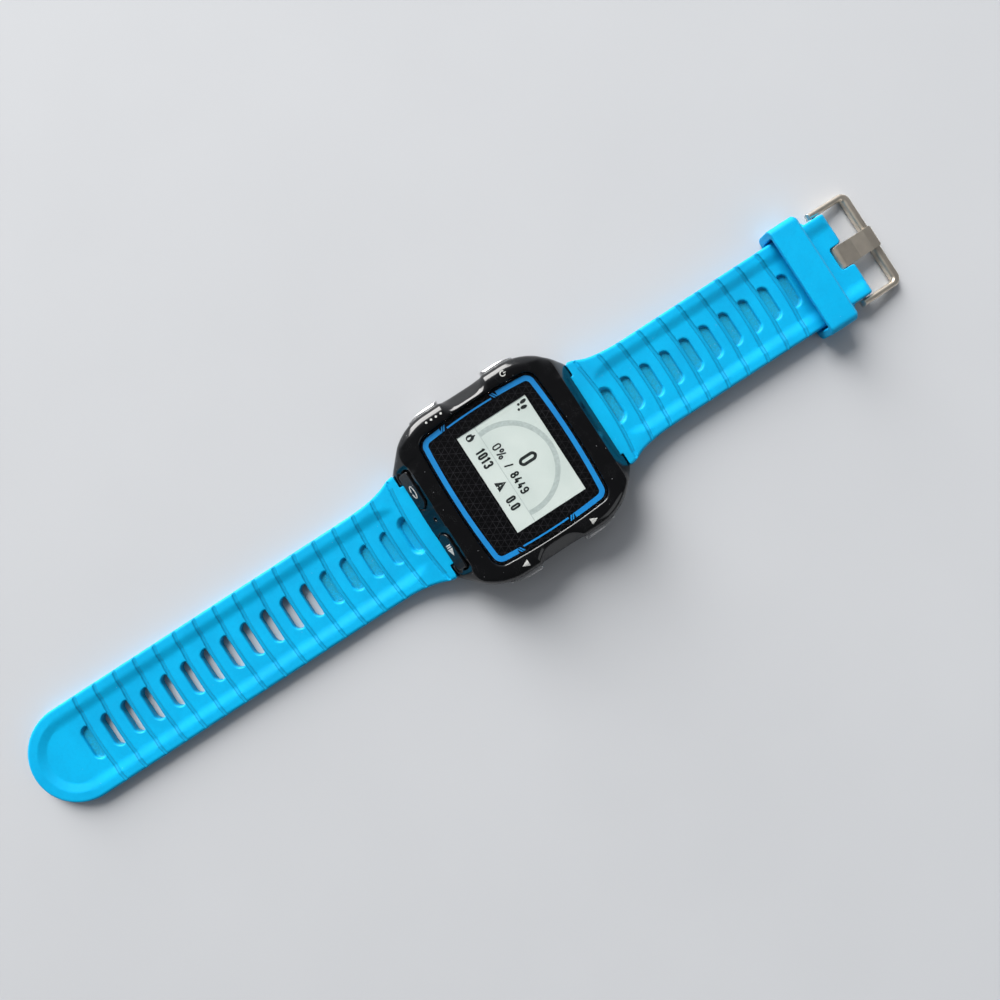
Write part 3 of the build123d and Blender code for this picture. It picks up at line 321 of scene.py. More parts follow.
def strap_rubber(name):
    """Cyan-blue moulded elastomer: satin, faintly mottled, darkened in its pockets by dust and painted
    shade, and darker in its grooves with dirt and painted shade.
    """
    s = Shade(name)
    bright, deep = linear(0, 178, 231), linear(0, 166, 219)
    colour = s.mix(s.between(s.noise(0.09, 4.0), 0.35, 0.68), bright, deep)
    tired = s.between(s.noise(1.3, 5.0), 0.48, 0.75)
    colour = s.mix(s.math("MULTIPLY", tired, 0.22), colour, linear(0, 146, 206))
    low = s.attribute("low")
    # Pocket floors grow darker with depth: partly dust, partly painted shade in the recesses.
    dust_and_shade = s.math("MULTIPLY", low, s.between(s.noise(1.7, 6.0, None, 0.68), 0.36, 0.60, 0.30, 1.0))
    colour = s.mix(s.math("MULTIPLY", dust_and_shade, 0.80), colour, linear(34, 140, 164))
    # Painted shade along the groove edges, and dirt with painted shade on the groove floors.
    colour = s.mix(s.attribute("groove"), colour, linear(0, 108, 142))
    lint = s.math("MAXIMUM", specks(s, 0.9, 0.07), s.math("MULTIPLY", low, specks(s, 1.9, 0.17)))
    colour = s.mix(s.math("MULTIPLY", lint, 0.6), colour, linear(205, 228, 236))
    s.put(Base_Color=colour, Specular_IOR_Level=0.18, Sheen_Weight=0.03, Sheen_Roughness=0.45)
    s.put(Roughness=s.between(s.noise(0.8, 4.0), 0.3, 0.7, 0.44, 0.56))
    skin = s.bump(s.noise(0.7, 3.0), 0.10, 0.08)
    s.put(Normal=s.bump(s.noise(14.0, 3.0), 0.22, 0.015, skin))
    return s.material


def brushed_steel(name, colour, rough, along=(0.12, 5.0, 5.0)):
    """Satin metal, brushed one way, with handling marks."""
    s = Shade(name)
    grain = s.noise(3.0, 4.0, s.stretched(along), 0.7)
    stain = s.between(s.noise(0.25, 3.0), 0.35, 0.7)
    darker = tuple(c * 0.86 for c in colour)
    s.put(Base_Color=s.mix(stain, colour, darker), Metallic=1.0)
    s.put(Roughness=s.between(grain, 0.3, 0.7, rough - 0.05, rough + 0.08))
    s.put(Normal=s.bump(grain, 0.18, 0.012, s.soft_edges(0.14)))
    return s.material


def plated_button(name):
    """Side buttons: black moulding with bright plating on the ribs that stand out of the case."""
    s = Shade(name)
    on_rib = s.between(s.math("ABSOLUTE", s.axis("X")), 24.35, 24.5)
    worn = s.between(s.noise(1.6, 4.0), 0.30, 0.72)
    metal = s.mix(worn, (0.66, 0.66, 0.66), (0.50, 0.50, 0.50))
    s.put(Base_Color=s.mix(on_rib, (0.010, 0.010, 0.011), metal), Metallic=on_rib)
    s.put(Roughness=s.between(s.noise(5.0, 3.0), 0.3, 0.7, 0.24, 0.40))
    s.put(Normal=s.bump(s.noise(8.0, 3.0), 0.25, 0.02, s.soft_edges(0.05)))
    return s.material


def clear_lens(name):
    """Clear glass seen as a see-through sheet with reflections, a few hairlines and specks."""
    s = Shade(name)
    hair = scratches(s, 0.004, (12, -38))
    dust = specks(s, 0.55, 0.055)
    s.put(Specular_IOR_Level=0.5, Roughness=s.between(s.noise(0.5, 3.0), 0.3, 0.7, 0.03, 0.07))
    see_through = s.tree.nodes.new("ShaderNodeBsdfTransparent")
    see_through.inputs["Color"].default_value = (0.985, 0.99, 0.99, 1.0)
    blend = s.tree.nodes.new("ShaderNodeMixShader")
    fresnel = s.tree.nodes.new("ShaderNodeFresnel")
    fresnel.inputs["IOR"].default_value = 1.45
    marks = s.math("MAXIMUM", s.math("MULTIPLY", hair, 0.04), s.math("MULTIPLY", dust, 0.4))
    facing = s.tree.nodes.new("ShaderNodeNewGeometry")
    outside = s.math("SUBTRACT", 1.0, facing.outputs["Backfacing"])
    # The coating takes away a fifth of the reflection, and holds it to a twentieth at grazing angles.
    coated = s.math("MINIMUM", s.math("MULTIPLY", fresnel.outputs["Fac"], 0.8), 0.05)
    gloss = s.math("MULTIPLY", coated, outside)
    s.link(s.math("MAXIMUM", gloss, marks), blend.inputs[0])
    s.put(Base_Color=s.mix(marks, (0.01, 0.01, 0.01), (0.5, 0.5, 0.5)))
    s.link(see_through.outputs["BSDF"], blend.inputs[1])
    s.link(s.shader.outputs["BSDF"], blend.inputs[2])
    s.link(blend.outputs["Shader"], s.output.inputs["Surface"])
    return s.material


def lattice_print(name):
    """Black print with a faint lattice of triangles."""
    s = Shade(name)
    x, y = s.axis("X"), s.axis("Y")
    lines = None
    for turn in (0, 60, 120):
        turned = s.math("MULTIPLY", x, sin(radians(turn)))
        across = s.math("ADD", turned, s.math("MULTIPLY", y, cos(radians(turn))))
        phase = s.repeat(across, LATTICE_PITCH, 100.5)
        line = s.between(s.off_middle(phase), 0.025, 0.065, 1.0, 0.0)
        lines = line if lines is None else s.math("MAXIMUM", lines, line)
    uneven = s.between(s.noise(0.35, 3.0), 0.35, 0.65, 0.4, 1.0)
    shown = s.math("MULTIPLY", lines, uneven)
    s.put(Base_Color=s.mix(shown, (0.0016, 0.0018, 0.0022), (0.022, 0.021, 0.024)))
    s.put(Roughness=s.between(s.noise(4.0, 2.0), 0.3, 0.7, 0.35, 0.5), Specular_IOR_Level=0.08)
    return s.material


def accent_print(name):
    """Blue print with a fine screen."""
    s = Shade(name)
    screen = s.between(s.cells(5.2), 0.1, 0.55)
    drift = s.between(s.noise(0.2, 3.0), 0.35, 0.65)
    colour = s.mix(drift, linear(12, 140, 216), linear(6, 126, 202))
    s.put(Base_Color=s.mix(s.math("MULTIPLY", screen, 0.25), colour, linear(48, 156, 224)))
    s.put(Roughness=s.between(s.noise(3.0, 2.0), 0.3, 0.7, 0.32, 0.45))
    return s.material


def display_glass(name):
    """Reflective liquid crystal: pale grey green with a fine grid of cells and a soft clouding."""
    s = Shade(name)
    grid = None
    for value in (s.axis("X"), s.axis("Y")):
        phase = s.repeat(value, CELL_PITCH, 400.0)
        line = s.between(s.off_middle(phase), 0.38, 0.48)
        grid = line if grid is None else s.math("MAXIMUM", grid, line)
    cloud = s.between(s.noise(0.11, 3.0), 0.3, 0.7)
    colour = s.mix(cloud, linear(218, 226, 221), linear(205, 215, 210))
    s.put(Base_Color=s.mix(s.math("MULTIPLY", grid, 0.16), colour, linear(150, 165, 160)))
    s.put(Roughness=s.between(s.noise(2.0, 2.0), 0.3, 0.7, 0.42, 0.55), Specular_IOR_Level=0.2)
    return s.material


def display_ink(name, colour):
    """Switched-on cells of the display."""
    s = Shade(name)
    wash = s.between(s.noise(1.4, 3.0), 0.35, 0.7)
    lighter = tuple(c * 1.25 + 0.01 for c in colour)
    s.put(Base_Color=s.mix(wash, colour, lighter), Roughness=0.55, Specular_IOR_Level=0.1)
    return s.material


def mark_print(name):
    """Pale print on the case, slightly rubbed."""
    s = Shade(name)
    rubbed = s.between(s.noise(2.6, 5.0), 0.42, 0.66)
    s.put(Base_Color=s.mix(rubbed, linear(214, 214, 210), linear(150, 152, 150)), Roughness=0.5)
    s.put(Normal=s.bump(s.noise(12.0, 2.0), 0.3, 0.01))
    return s.material


def circuit_board(name):
    """Green solder mask over copper tracks."""
    s = Shade(name)
    track_x = s.repeat(s.axis("X"), TRACK_PITCH_X, 50.0)
    track_y = s.repeat(s.axis("Y"), TRACK_PITCH_Y, 50.0)
    area = s.between(s.noise(0.5, 1.0), 0.48, 0.52)
    tracks = s.between(s.math("MINIMUM", track_x, track_y), 0.22, 0.26, 1.0, 0.0)
    copper = s.math("MULTIPLY", tracks, area)
    s.put(Base_Color=s.mix(copper, (0.006, 0.055, 0.022), (0.02, 0.12, 0.05)), Roughness=0.32)
    s.put(Normal=s.bump(copper, 0.5, 0.02))
    return s.material


def crinkled_foil(name):
    """Laminated pouch foil."""
    s = Shade(name)
    crease = s.cells(0.35, feature="DISTANCE_TO_EDGE")
    s.put(Base_Color=s.mix(s.noise(0.5, 3.0), (0.55, 0.56, 0.58), (0.70, 0.71, 0.73)), Metallic=0.9)
    s.put(Roughness=s.between(s.noise(2.0, 3.0), 0.3, 0.7, 0.28, 0.45))
    s.put(Normal=s.bump(s.between(crease, 0.0, 0.25), 0.4, 0.10))
    return s.material


def solid_stock(name, colour, rough, grain=4.0):
    """Small inner parts: uneven colour, fine grain and a varied gloss."""
    s = Shade(name)
    lighter = tuple(min(1.0, c * 1.2 + 0.01) for c in colour)
    s.put(Base_Color=s.mix(s.between(s.noise(0.9, 4.0), 0.35, 0.7), colour, lighter))
    s.put(Roughness=s.between(s.noise(grain, 3.0), 0.3, 0.7, rough - 0.08, rough + 0.08))
    s.put(Normal=s.bump(s.noise(grain * 3, 2.0), 0.25, 0.015))
    return s.material


def table_top(name):
    """Plain pale floor, barely uneven."""
    s = Shade(name)
    s.put(Base_Color=s.mix(s.noise(0.02, 2.0), (0.55, 0.56, 0.58), (0.58, 0.59, 0.61)), Roughness=0.9)
    s.put(Specular_IOR_Level=0.05)
    return s.material


SLOT_MATERIALS = {
    "case_gloss": gloss_black("case_gloss"),
    "rear_matte": matte_moulding("rear_matte", (0.020, 0.020, 0.022)),
    "strap_rubber": strap_rubber("strap_rubber"),
    "buckle_steel": brushed_steel("buckle_steel", (0.80, 0.715, 0.60), 0.40),
    "button_black": gloss_black("button_black", rough=0.18, edge=0.10),
    "button_metal": plated_button("button_metal"),
    "pin_steel": brushed_steel("pin_steel", (0.52, 0.52, 0.51), 0.26),
    "screw_steel": brushed_steel("screw_steel", (0.34, 0.34, 0.34), 0.30, (4.0, 4.0, 0.3)),
    "lens_glass": clear_lens("lens_glass"),
    "mask_ink": lattice_print("mask_ink"),
    "accent_ink": accent_print("accent_ink"),
    "lcd": display_glass("lcd"),
    "light_guide": solid_stock("light_guide", (0.85, 0.86, 0.85), 0.40),
    "flex_film": solid_stock("flex_film", (0.42, 0.13, 0.012), 0.35),
    "frame_plastic": matte_moulding("frame_plastic", (0.03, 0.03, 0.032)),
    "board": circuit_board("board"),
    "chip_black": solid_stock("chip_black", (0.012, 0.012, 0.013), 0.55, 8.0),
    "shield_tin": brushed_steel("shield_tin", (0.60, 0.60, 0.58), 0.35),
    "ceramic_white": solid_stock("ceramic_white", (0.70, 0.67, 0.58), 0.30),
    "cell_foil": crinkled_foil("cell_foil"),
    "motor_steel": brushed_steel("motor_steel", (0.55, 0.55, 0.55), 0.25),
    "buzzer_brass": brushed_steel("buzzer_brass", (0.62, 0.44, 0.15), 0.28),
    "seal_rubber": solid_stock("seal_rubber", (0.012, 0.012, 0.013), 0.60),
    "adhesive_black": solid_stock("adhesive_black", (0.01, 0.01, 0.01), 0.80, 9.0),
    "membrane_white": solid_stock("membrane_white", (0.78, 0.78, 0.78), 0.75, 12.0),
    "contact_gold": brushed_steel("contact_gold", (0.83, 0.58, 0.22), 0.20, (3.0, 3.0, 3.0)),
    "sensor_metal": brushed_steel("sensor_metal", (0.50, 0.50, 0.50), 0.30),
}
GLYPH_INK = display_ink("glyph_ink", linear(38, 42, 42))
GAUGE_INK = display_ink("gauge_ink", linear(172, 182, 179))
MARK_PRINT = mark_print("mark_print")


# ---------------------------------------------------------------- CAD nodes

def dress_cad_nodes():
    """Gives every CAD node its slot's material and smooth shading with crisp edges."""
    slots = {part["node"]: part["material_slot"] for part in frame["record"]["subparts"]}
    for name, node in nodes.items():
        material = SLOT_MATERIALS[slots[name]]
        node.data.materials.clear()
        node.data.materials.append(material)
        node.data.polygons.foreach_set("use_smooth", [True] * len(node.data.polygons))
        split = node.modifiers.new("crisp_edges", "EDGE_SPLIT")
        split.split_angle = radians(CREASE_ANGLE)


# ---------------------------------------------------------------- mesh helpers

def add_piece(name, bm, body, material):
    """Turns a bmesh in metres into a piece that rides on a body."""
    mesh = bpy.data.meshes.new(name)
    bm.to_mesh(mesh)
    bm.free()
    piece = bpy.data.objects.new(name, mesh)
    bpy.context.scene.collection.objects.link(piece)
    piece.data.materials.append(material)
    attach(piece, body)
    return piece


def round_corners(points, radius, closed):
    """A polyline in millimetres with its corners rounded."""
    made = []
    count = len(points)
    for index, (x, y) in enumerate(points):
        if not closed and index in (0, count - 1):
            made.append((x, y))
            continue
        sides = []
        for other in (points[index - 1], points[(index + 1) % count]):
            dx, dy = other[0] - x, other[1] - y
            length = hypot(dx, dy)
            reach = min(radius, length * 0.499)
            sides.append((x + dx / length * reach, y + dy / length * reach))
        (x_in, y_in), (x_out, y_out) = sides
        for step in range(CORNER_STEPS + 1):
            t = step / CORNER_STEPS
            pull = 2 * t * (1 - t)
            start, peak, end = (1 - t) ** 2, pull * (1 - 2 * CORNER_SHARE), t * t
            start, end = start + pull * CORNER_SHARE, end + pull * CORNER_SHARE
            made.append((start * x_in + peak * x + end * x_out, start * y_in + peak * y + end * y_out))
    return made


def ribbon(bm, points, width, closed=False):
    """A flat line of even width along a polyline in millimetres."""
    count = len(points)
    rails = []
    for index, (x, y) in enumerate(points):
        before = points[index - 1] if closed or index else points[index]
        after = points[(index + 1) % count] if closed or index < count - 1 else points[index]
        dx, dy = after[0] - before[0], after[1] - before[1]
        length = hypot(dx, dy) or 1.0
        nx, ny = -dy / length * width / 2, dx / length * width / 2
        rails.append([bm.verts.new(((x + side * nx) * MM, (y + side * ny) * MM, 0)) for side in (-1, 1)])
    last = count if closed else count - 1
    for index in range(last):
        low, high = rails[index], rails[(index + 1) % count]
        bm.faces.new((low[0], high[0], high[1], low[1]))


def patch(bm, points):
    """A flat filled shape from its outline in millimetres."""
    bm.faces.new([bm.verts.new((x * MM, y * MM, 0)) for x, y in points])


def pierced(bm, middle, outlines):
    """A flat filled shape with holes: the outer outline first, in millimetres about middle."""
    edges = []
    for outline in outlines:
        loop = [bm.verts.new(((middle[0] + x) * MM, (middle[1] + y) * MM, 0)) for x, y in outline]
        edges += [bm.edges.new((loop[k - 1], loop[k])) for k in range(len(loop))]
    bmesh.ops.triangle_fill(bm, edges=edges, use_beauty=True)


def oval(middle, radii, turn=0.0):
    """Points round an ellipse in millimetres, turned in degrees."""
    made = []
    c, s = cos(radians(turn)), sin(radians(turn))
    for k in range(OVAL_POINTS):
        angle = 2 * pi * k / OVAL_POINTS
        x, y = radii[0] * cos(angle), radii[1] * sin(angle)
        made.append((middle[0] + x * c - y * s, middle[1] + x * s + y * c))
    return made


def arc_points(middle, radius, start, end, count=24):
    """Points along an arc, from start to end in degrees."""
    made = []
    for k in range(count + 1):
        angle = radians(start + (end - start) * k / count)
        made.append((middle[0] + radius * cos(angle), middle[1] + radius * sin(angle)))
    return made


# ---------------------------------------------------------------- display content

# Each figure is one or more lines through corners in a box one wide and one high.
FIGURES = {
    "0": [("loop", [(0, 0), (1, 0), (1, 1), (0, 1)])],
    "1": [("line", [(0.12, 0.80), (0.58, 1), (0.58, -0.04)])],
    "3": [("line", [(0, 0.78), (0, 1), (1, 1), (1, 0.53), (0.35, 0.53)]),
          ("line", [(0.35, 0.53), (1, 0.53), (1, 0), (0, 0), (0, 0.22)])],
    "4": [("line", [(0.55, 1.04), (0, 0.27), (1.08, 0.27)]), ("line", [(0.74, 0.52), (0.74, -0.04)])],
    "8": [("loop", [(0, 0), (1, 0), (1, 0.53), (0, 0.53)]),
          ("loop", [(0.06, 0.53), (0.94, 0.53), (0.94, 1), (0.06, 1)])],
    "9": [("loop", [(0, 0.45), (1, 0.45), (1, 1), (0, 1)]), ("line", [(1, 0.7), (1, 0), (0, 0), (0, 0.2)])],
    "%": [("loop", [(-0.42, 0.54), (0.22, 0.54), (0.22, 1), (-0.42, 1)]),
          ("loop", [(0.98, 0), (1.62, 0), (1.62, 0.46), (0.98, 0.46)]),
          ("line", [(0.16, -0.04), (1.04, 1.04)])],
    "/": [("line", [(0.1, -0.05), (0.9, 1.05)])],
    ".": [("line", [(0.5, -0.06), (0.5, 0.08)])],
}


def write_figures(bm, text, middle, height, width, stroke, advance):
    """Draws figures centred on middle, all in millimetres."""
    shares = {".": 0.55, "1": 0.85, "%": 1.55}
    spans = [advance * shares.get(c, 1.0) for c in text]
    x = middle[0] - sum(spans) / 2
    tall, wide = height - stroke, width - stroke
    for letter, span in zip(text, spans):
        left = x + (span - wide) / 2
        low = middle[1] - tall / 2
        for kind, corners in FIGURES[letter]:
            points = [(left + u * wide, low + v * tall) for u, v in corners]
            closed = kind == "loop"
            sharp = letter in "14/." or (letter == "%" and not closed)
            radius = 0.02 if sharp else wide * 0.5
            ribbon(bm, round_corners(points, radius, closed), stroke, closed)
        x += span


def footprints(bm, middle):
    """A pair of shoe prints."""
    for side, drop in ((-1, 0.3), (1, -0.3)):
        x, y = middle[0] + side * 0.68, middle[1] + drop
        patch(bm, oval((x, y + 0.42), (0.48, 0.92), side * -7))
        patch(bm, oval((x - side * 0.10, y - 1.02), (0.36, 0.34)))


def flame(bm, middle):
    """A flame: a tall tongue with a small one beside it, round a pale heart open at its foot."""
    outer = [
        (0.12, -1.45), (-0.55, -1.35), (-0.98, -0.65), (-0.82, 0.05), (-0.62, 0.75), (-0.38, 0.30),
        (0.12, 1.5), (0.42, 0.55), (0.62, 0.62), (0.98, -0.35), (0.72, -1.25),
    ]
    heart = [(-0.04, -1.22), (-0.42, -0.80), (-0.12, 0.12), (0.22, -0.35), (0.34, -0.95)]
    pierced(bm, middle, [round_corners(outer, 0.34, True), round_corners(heart, 0.22, True)])


def road_sign(bm, middle):
    """A road running away, as a filled triangle with a broken middle line."""
    right = [(0.13, -1.05), (0.17, -1.42), (1.36, -1.42)]
    sign = [(-x, y) for x, y in reversed(right)] + right + [(0, 1.45)]
    dashes = []
    for low, high, half in ((-0.62, -0.08, 0.13), (0.30, 0.62, 0.06)):
        dashes.append([(-half, low), (half, low), (half * 0.7, high), (-half * 0.7, high)])
    pierced(bm, middle, [sign] + dashes)


def gauge(bm):
    """Goal gauge: a broad arc that ends on the rule."""
    (mx, my), (inner, outer) = GAUGE_MIDDLE, GAUGE_RADII
    middle = (inner + outer) / 2
    sweep = 180 + 2 * (180 / pi) * atan2(my - RULE_Y, middle)
    start = 90 + sweep / 2
    ribbon(bm, arc_points((mx, my), middle, start, start - sweep, 90), outer - inner)


def face_up(bm):
    """Turns every face of a drawing upwards."""
    bmesh.ops.recalc_face_normals(bm, faces=bm.faces)
    for face in bm.faces:
        if face.normal.z < 0:
            face.normal_flip()


def lay_flat(bm, z):
    """Turns a flat drawing face up and lifts it to its height."""
    face_up(bm)
    bmesh.ops.translate(bm, verts=bm.verts, vec=(0, 0, z))


def build_display():
    """Figures, icons, gauge and rule on the display."""
    ink = bmesh.new()
    write_figures(ink, "0", (-0.15, 5.0), 5.2, 2.4, 0.80, 2.6)
    write_figures(ink, "0%", (-5.75, -0.05), 2.55, 1.35, 0.38, 1.62)
    write_figures(ink, "/", (-1.35, -0.05), 2.5, 1.3, 0.40, 1.52)
    write_figures(ink, "8449", (3.8, -0.05), 2.5, 1.30, 0.46, 1.58)
    write_figures(ink, "1013", (-6.2, -4.3), 2.85, 1.24, 0.54, 1.44)
    write_figures(ink, "0.0", (7.3, -4.3), 2.85, 1.24, 0.54, 1.40)
    footprints(ink, (-12.5, 11.2))
    flame(ink, (-12.6, -4.25))
    road_sign(ink, (1.8, -4.3))
    lay_flat(ink, PANEL_TOP + 2 * GLYPH_LIFT)
    add_piece("display_figures", ink, "case", GLYPH_INK)
    grey = bmesh.new()
    gauge(grey)
    half, rule_y = DISPLAY_WIDTH / 2, RULE_Y - RULE_WIDTH / 2
    ribbon(grey, [(-half, rule_y), (half, rule_y)], RULE_WIDTH)
    lay_flat(grey, PANEL_TOP + GLYPH_LIFT)
    add_piece("display_gauge", grey, "case", GAUGE_INK)


# ---------------------------------------------------------------- marks on the case

def drape(bm, node):
    """Drops a flat drawing straight down onto a surface, cut fine enough to follow it."""
    mesh = node.data
    tree = BVHTree.FromPolygons([v.co for v in mesh.vertices], [p.vertices for p in mesh.polygons])
    bmesh.ops.triangulate(bm, faces=bm.faces)
    for _ in range(DRAPE_ROUNDS):
        long_edges = [edge for edge in bm.edges if edge.calc_length() > DRAPE_EDGE]
        if long_edges:
            bmesh.ops.subdivide_edges(bm, edges=long_edges, cuts=1)
            bmesh.ops.triangulate(bm, faces=bm.faces)
    for vert in bm.verts:
        above = Vector((vert.co.x, vert.co.y, DRAPE_FROM))
        hit, normal, _, _ = tree.ray_cast(above, Vector((0, 0, -1)))
        if hit is not None:
            vert.co = hit + normal * MARK_LIFT
    face_up(bm)


def build_marks(case):
    """Printed marks: power ring, menu dots and arrows on the case, two more on the end buttons."""
    prints = bmesh.new()
    ribbon(prints, arc_points((-21.75, 11.3), 0.66, 50, -230), 0.24)
    ribbon(prints, [(-21.75, 11.5), (-21.75, 12.2)], 0.22)
    for k in range(4):
        patch(prints, oval((-21.8, -7.4 - 1.45 * k), (0.31, 0.31)))
    for y, way in ((9.7, 1), (-9.2, -1)):
        patch(prints, [(21.2, y), (23.0, y), (22.1, y + way * 1.95)])
    drape(prints, case)
    add_piece("case_marks", prints, "case", MARK_PRINT)

    turn_back = bmesh.new()
    ring = [(-9.0 + 1.72 * x, -24.4 + 0.47 * y) for x, y in arc_points((0, 0), 1.0, -78, 246, 60)]
    ribbon(turn_back, ring, 0.27)
    patch(turn_back, [(-9.75, -25.15), (-9.05, -24.85), (-9.75, -24.62)])
    drape(turn_back, nodes["back_button"])
    add_piece("return_mark", turn_back, "back_button", MARK_PRINT)

    run = bmesh.new()
    for left_x in (7.22, 7.76):
        patch(run, [(left_x, -25.0), (left_x + 0.38, -25.0), (left_x + 0.38, -23.7), (left_x, -23.7)])
    patch(run, [(8.38, -25.1), (10.45, -24.35), (8.38, -23.6)])
    drape(run, nodes["enter_button"])
    add_piece("run_mark", run, "enter_button", MARK_PRINT)


# ---------------------------------------------------------------- moulded skins

def moulded_skin(node_name, voxel, smoothing, material):
    """A moulded piece made from a CAD node: the same shape, with its edges softened a little."""
    source = nodes[node_name]
    piece = bpy.data.objects.new(node_name + "_skin", source.data.copy())
    bpy.context.scene.collection.objects.link(piece)
    remesh = piece.modifiers.new("remesh", "REMESH")
    remesh.mode = "VOXEL"
    remesh.voxel_size = voxel
    smooth = piece.modifiers.new("smooth", "SMOOTH")
    smooth.factor = 0.5
    smooth.iterations = smoothing
    apply_modifiers(piece)
    piece.data.materials.clear()
    piece.data.materials.append(material)
    return piece


def apply_modifiers(piece):
    """Replaces a piece's mesh with what its modifiers make of it, shaded smooth."""
    depsgraph = bpy.context.evaluated_depsgraph_get()
    baked = bpy.data.meshes.new_from_object(piece.evaluated_get(depsgraph))
    piece.modifiers.clear()
    piece.data = baked
    baked.polygons.foreach_set("use_smooth", [True] * len(baked.polygons))


def smooth_where(piece, weigh, iterations):
    """Smooths a piece where weigh, called with a point in millimetres, is more than nothing."""
    group = piece.vertex_groups.new(name="soft")
    for vert in piece.data.vertices:
        weight = weigh(vert.co / MM)
        if weight > 0:
            group.add([vert.index], min(1.0, weight), "REPLACE")
    roll = piece.modifiers.new("roll", "SMOOTH")
    roll.factor = 0.5
    roll.iterations = iterations
    roll.vertex_group = "soft"
    apply_modifiers(piece)
    piece.vertex_groups.clear()


def corner_weight(place):
    """1 along the edges down to the lugs, fading to 0."""
    folded = Vector((abs(place.x), abs(place.y), place.z))
    if any(value < least for value, least in zip(folded, CORNER_LEAST)):
        return 0.0
    near, far = CORNER_REACH
    return (far - corner_distance(folded)) / (far - near)


def corner_distance(place):
    """How far a point lies from the edge down to the lug, in millimetres."""
    gaps = []
    for start, end in zip(CASE_CORNER, CASE_CORNER[1:]):
        low, high = Vector(start), Vector(end)
        run = high - low
        t = max(0.0, min(1.0, (place - low).dot(run) / run.length_squared))
        gaps.append((place - low - run * t).length)
    return min(gaps)


def waist_weight(place):
    """1 over the finger scoops and their rims, fading to 0 short of the buttons."""
    depths = (abs(place.x) - WAIST_X, WAIST_Y - abs(place.y), place.z - WAIST_Z)
    weight = 1.0
    for depth, fade in zip(depths, WAIST_FADE):
        weight *= max(0.0, min(1.0, depth / fade))
    return weight


def outside_by(place, box):
    """How far a point lies outside a box along the axis where it is furthest out, 0 inside."""
    return max(max(low - value, value - high, 0.0) for low, value, high in zip(box[0], place, box[1]))


def clear_buttons(piece):
    """Opens the case slightly wider round its buttons, so that they travel freely."""
    group = piece.vertex_groups.new(name="openings")
    boxes = [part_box(name) for name in BUTTONS]
    for vert in piece.data.vertices:
        away = min(outside_by(vert.co, box) for box in boxes) / MM
        if away < OPENING_REACH:
            group.add([vert.index], 1 - away / OPENING_REACH, "REPLACE")
    shrink = piece.modifiers.new("shrink", "DISPLACE")
    shrink.mid_level = 0.0
    shrink.strength = -OPENING_GAP
    shrink.vertex_group = "openings"
    apply_modifiers(piece)
    piece.vertex_groups.clear()


def build_case():
    """The front case, with broadly rolled edges down to its lugs and soft finger scoops."""
    piece = moulded_skin("front_case", CASE_VOXEL, CASE_SMOOTHING, SLOT_MATERIALS["case_gloss"])
    smooth_where(piece, corner_weight, CORNER_SMOOTHING)
    smooth_where(piece, waist_weight, WAIST_SMOOTHING)
    clear_buttons(piece)
    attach(piece, "case")
    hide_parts("front_case")
    return piece


def mark_low_places(piece, flat_z, sign):
    """Stores where a strap's surface lies below its channel floor, so that dust and painted shade can be
    laid there.
    """
    low = piece.data.attributes.new("low", "FLOAT", "POINT")
    values = []
    for vert in piece.data.vertices:
        s = sign * vert.co.y / MM
        x, z = abs(vert.co.x / MM), vert.co.z / MM
        rise = RISE_HEIGHT * max(0.0, 1 - (s - RISE_START) / RISE_RUN) ** RISE_POWER
        floor = flat_z + CHANNEL_FLOOR + rise
        inside = x < POCKET_HALF and POCKET_SPAN[0] < s < POCKET_SPAN[1]
        depth = (floor - DUST_AND_SHADE_DEPTH - z) / DUST_AND_SHADE_FADE
        values.append(min(1.0, max(0.0, depth)) if inside else 0.0)
    low.data.foreach_set("value", values)


def from_groove(place, sign, first, pitch, count):
    """How far a place on a strap half lies from its nearest groove, in millimetres."""
    along = sign * place.y + GROOVE_BACK + GROOVE_SAG * (place.x / GROOVE_REACH) ** 2 - first
    nearest = min(count - 1, max(0, round(along / pitch)))
    return abs(along - nearest * pitch)


def slope_weight(sign, first, pitch, count):
    """Weighs the channel's sloping sides, sparing the grooves across them."""
    low, full, until, high = SLOPE_BAND

    def weigh(place):
        """1 on a slope, fading to 0 at its borders and by the grooves."""
        x, s = abs(place.x), sign * place.y
        if not low < x < high or s < SLOPE_SPAN[0] or s > SLOPE_SPAN[1] or place.z < SLOPE_LEAST_Z:
            return 0.0
        away = from_groove(place, sign, first, pitch, count) - SLOPE_SPARE
        side = min((x - low) / (full - low), (high - x) / (high - until))
        return min(1.0, side, away / SLOPE_FADE)

    return weigh


def mark_grooves(piece, flat_z, sign, first, pitch, count):
    """Stores where the grooves run across a strap's upper face: darker along their two edges with painted
    shade, and darker on their floors with dirt and painted shade.
    """
    groove = piece.data.attributes.new("groove", "FLOAT", "POINT")
    values = []
    for vert in piece.data.vertices:
        place = vert.co / MM
        if place.z <= flat_z + UPPER_HEIGHT or abs(place.x) >= UPPER_HALF:
            values.append(0.0)
            continue
        away = from_groove(place, sign, first, pitch, count)
        edge = max(0.0, 1 - abs(away - GROOVE_HALF) / GROOVE_EDGE)
        values.append(max(GROOVE_EDGE_SHADE * edge, GROOVE_FLOOR_DIRT_AND_SHADE if away < GROOVE_HALF else 0.0))
    groove.data.foreach_set("value", values)


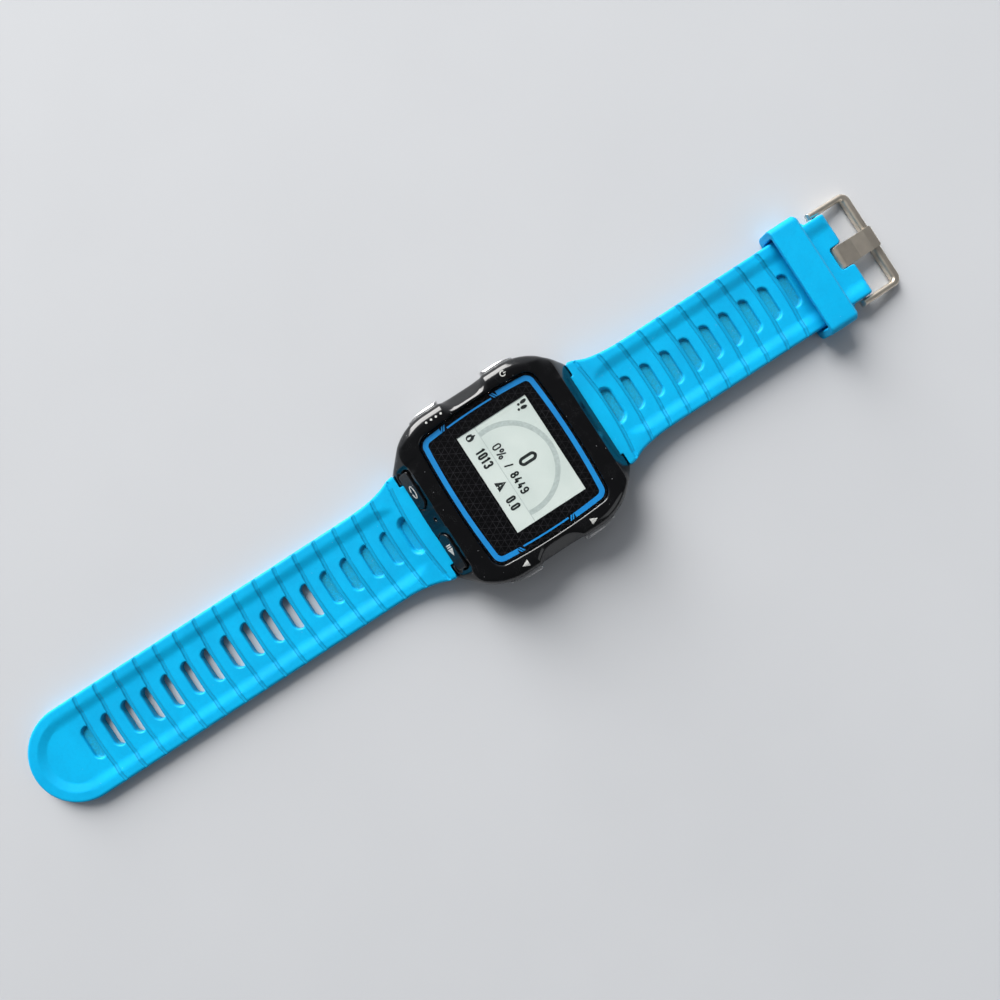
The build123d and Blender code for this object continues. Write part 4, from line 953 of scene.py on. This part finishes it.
def build_straps():
    """Both strap halves and the keeper, as moulded rubber."""
    for name, flat_z, sign, first, pitch, count in STRAP_HALVES:
        piece = moulded_skin(name, STRAP_VOXEL, STRAP_SMOOTHING, SLOT_MATERIALS["strap_rubber"])
        smooth_where(piece, slope_weight(sign, first, pitch, count), SLOPE_SMOOTHING)
        mark_low_places(piece, flat_z, sign)
        mark_grooves(piece, flat_z, sign, first, pitch, count)
        finish_skin(piece, name, name)
    keeper = moulded_skin("strap_keeper", STRAP_VOXEL, KEEPER_SMOOTHING, SLOT_MATERIALS["strap_rubber"])
    finish_skin(keeper, "keeper", "strap_keeper")


def finish_skin(piece, body, node_name):
    """Puts a rubber skin on its body in place of its CAD node."""
    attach(piece, body)
    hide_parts(node_name)


# ---------------------------------------------------------------- stage

def build_floor():
    """The plain floor just under the watch."""
    bm = bmesh.new()
    bmesh.ops.create_grid(bm, x_segments=1, y_segments=1, size=FLOOR_HALF)
    mesh = bpy.data.meshes.new("floor")
    bm.to_mesh(mesh)
    bm.free()
    floor = bpy.data.objects.new("floor", mesh)
    floor.location.z = -FLOOR_DROP
    bpy.context.scene.collection.objects.link(floor)
    floor.data.materials.append(table_top("table_top"))


def build_sky():
    """A soft sky, brighter on the 9 o'clock side."""
    world = bpy.data.worlds.new("soft_sky")
    world.use_nodes = True
    tree = world.node_tree
    sky = tree.nodes["Background"]
    sky.inputs["Color"].default_value = SKY_COLOUR
    place = tree.nodes.new("ShaderNodeTexCoord")
    split = tree.nodes.new("ShaderNodeSeparateXYZ")
    tree.links.new(place.outputs["Generated"], split.inputs["Vector"])
    bright = tree.nodes.new("ShaderNodeMapRange")
    bright.interpolation_type = "SMOOTHSTEP"
    for index, number in enumerate((*SKY_SPAN, SKY_BRIGHT, SKY_DARK)):
        bright.inputs[index + 1].default_value = number
    tree.links.new(split.outputs["X"], bright.inputs[0])
    tree.links.new(bright.outputs["Result"], sky.inputs["Strength"])
    bpy.context.scene.world = world
    bpy.context.scene.view_settings.view_transform = "Standard"


def area_light(name, place, size, power, colour):
    """A rectangular lamp that shines at the middle of the watch."""
    light = bpy.data.lights.new(name, "AREA")
    light.shape = "RECTANGLE"
    light.size, light.size_y = size
    light.energy = power
    light.color = colour
    lamp = bpy.data.objects.new(name, light)
    lamp.location = place
    lamp.rotation_euler = (-Vector(place)).to_track_quat("-Z", "Y").to_euler()
    bpy.context.scene.collection.objects.link(lamp)


def build_lights():
    """A window on the 9 o'clock side and a weak fill opposite."""
    area_light("window", WINDOW_PLACE, WINDOW_SIZE, WINDOW_POWER, (1.0, 0.99, 0.97))
    area_light("fill", FILL_PLACE, FILL_SIZE, FILL_POWER, (0.95, 0.98, 1.0))


def build_camera():
    """The camera, straight above and turned about its own line of sight."""
    lens = bpy.data.cameras.new("camera")
    lens.lens = CAMERA_LENS
    lens.sensor_width = CAMERA_SENSOR
    lens.clip_start = CAMERA_CLIP
    camera = bpy.data.objects.new("camera", lens)
    camera.location = CAMERA_PLACE
    camera.rotation_euler = (0, 0, radians(CAMERA_TURN))
    bpy.context.scene.collection.objects.link(camera)
    bpy.context.scene.camera = camera


build_camera()
dress_cad_nodes()
build_display()
build_marks(build_case())
build_straps()
build_floor()
build_sky()
build_lights()
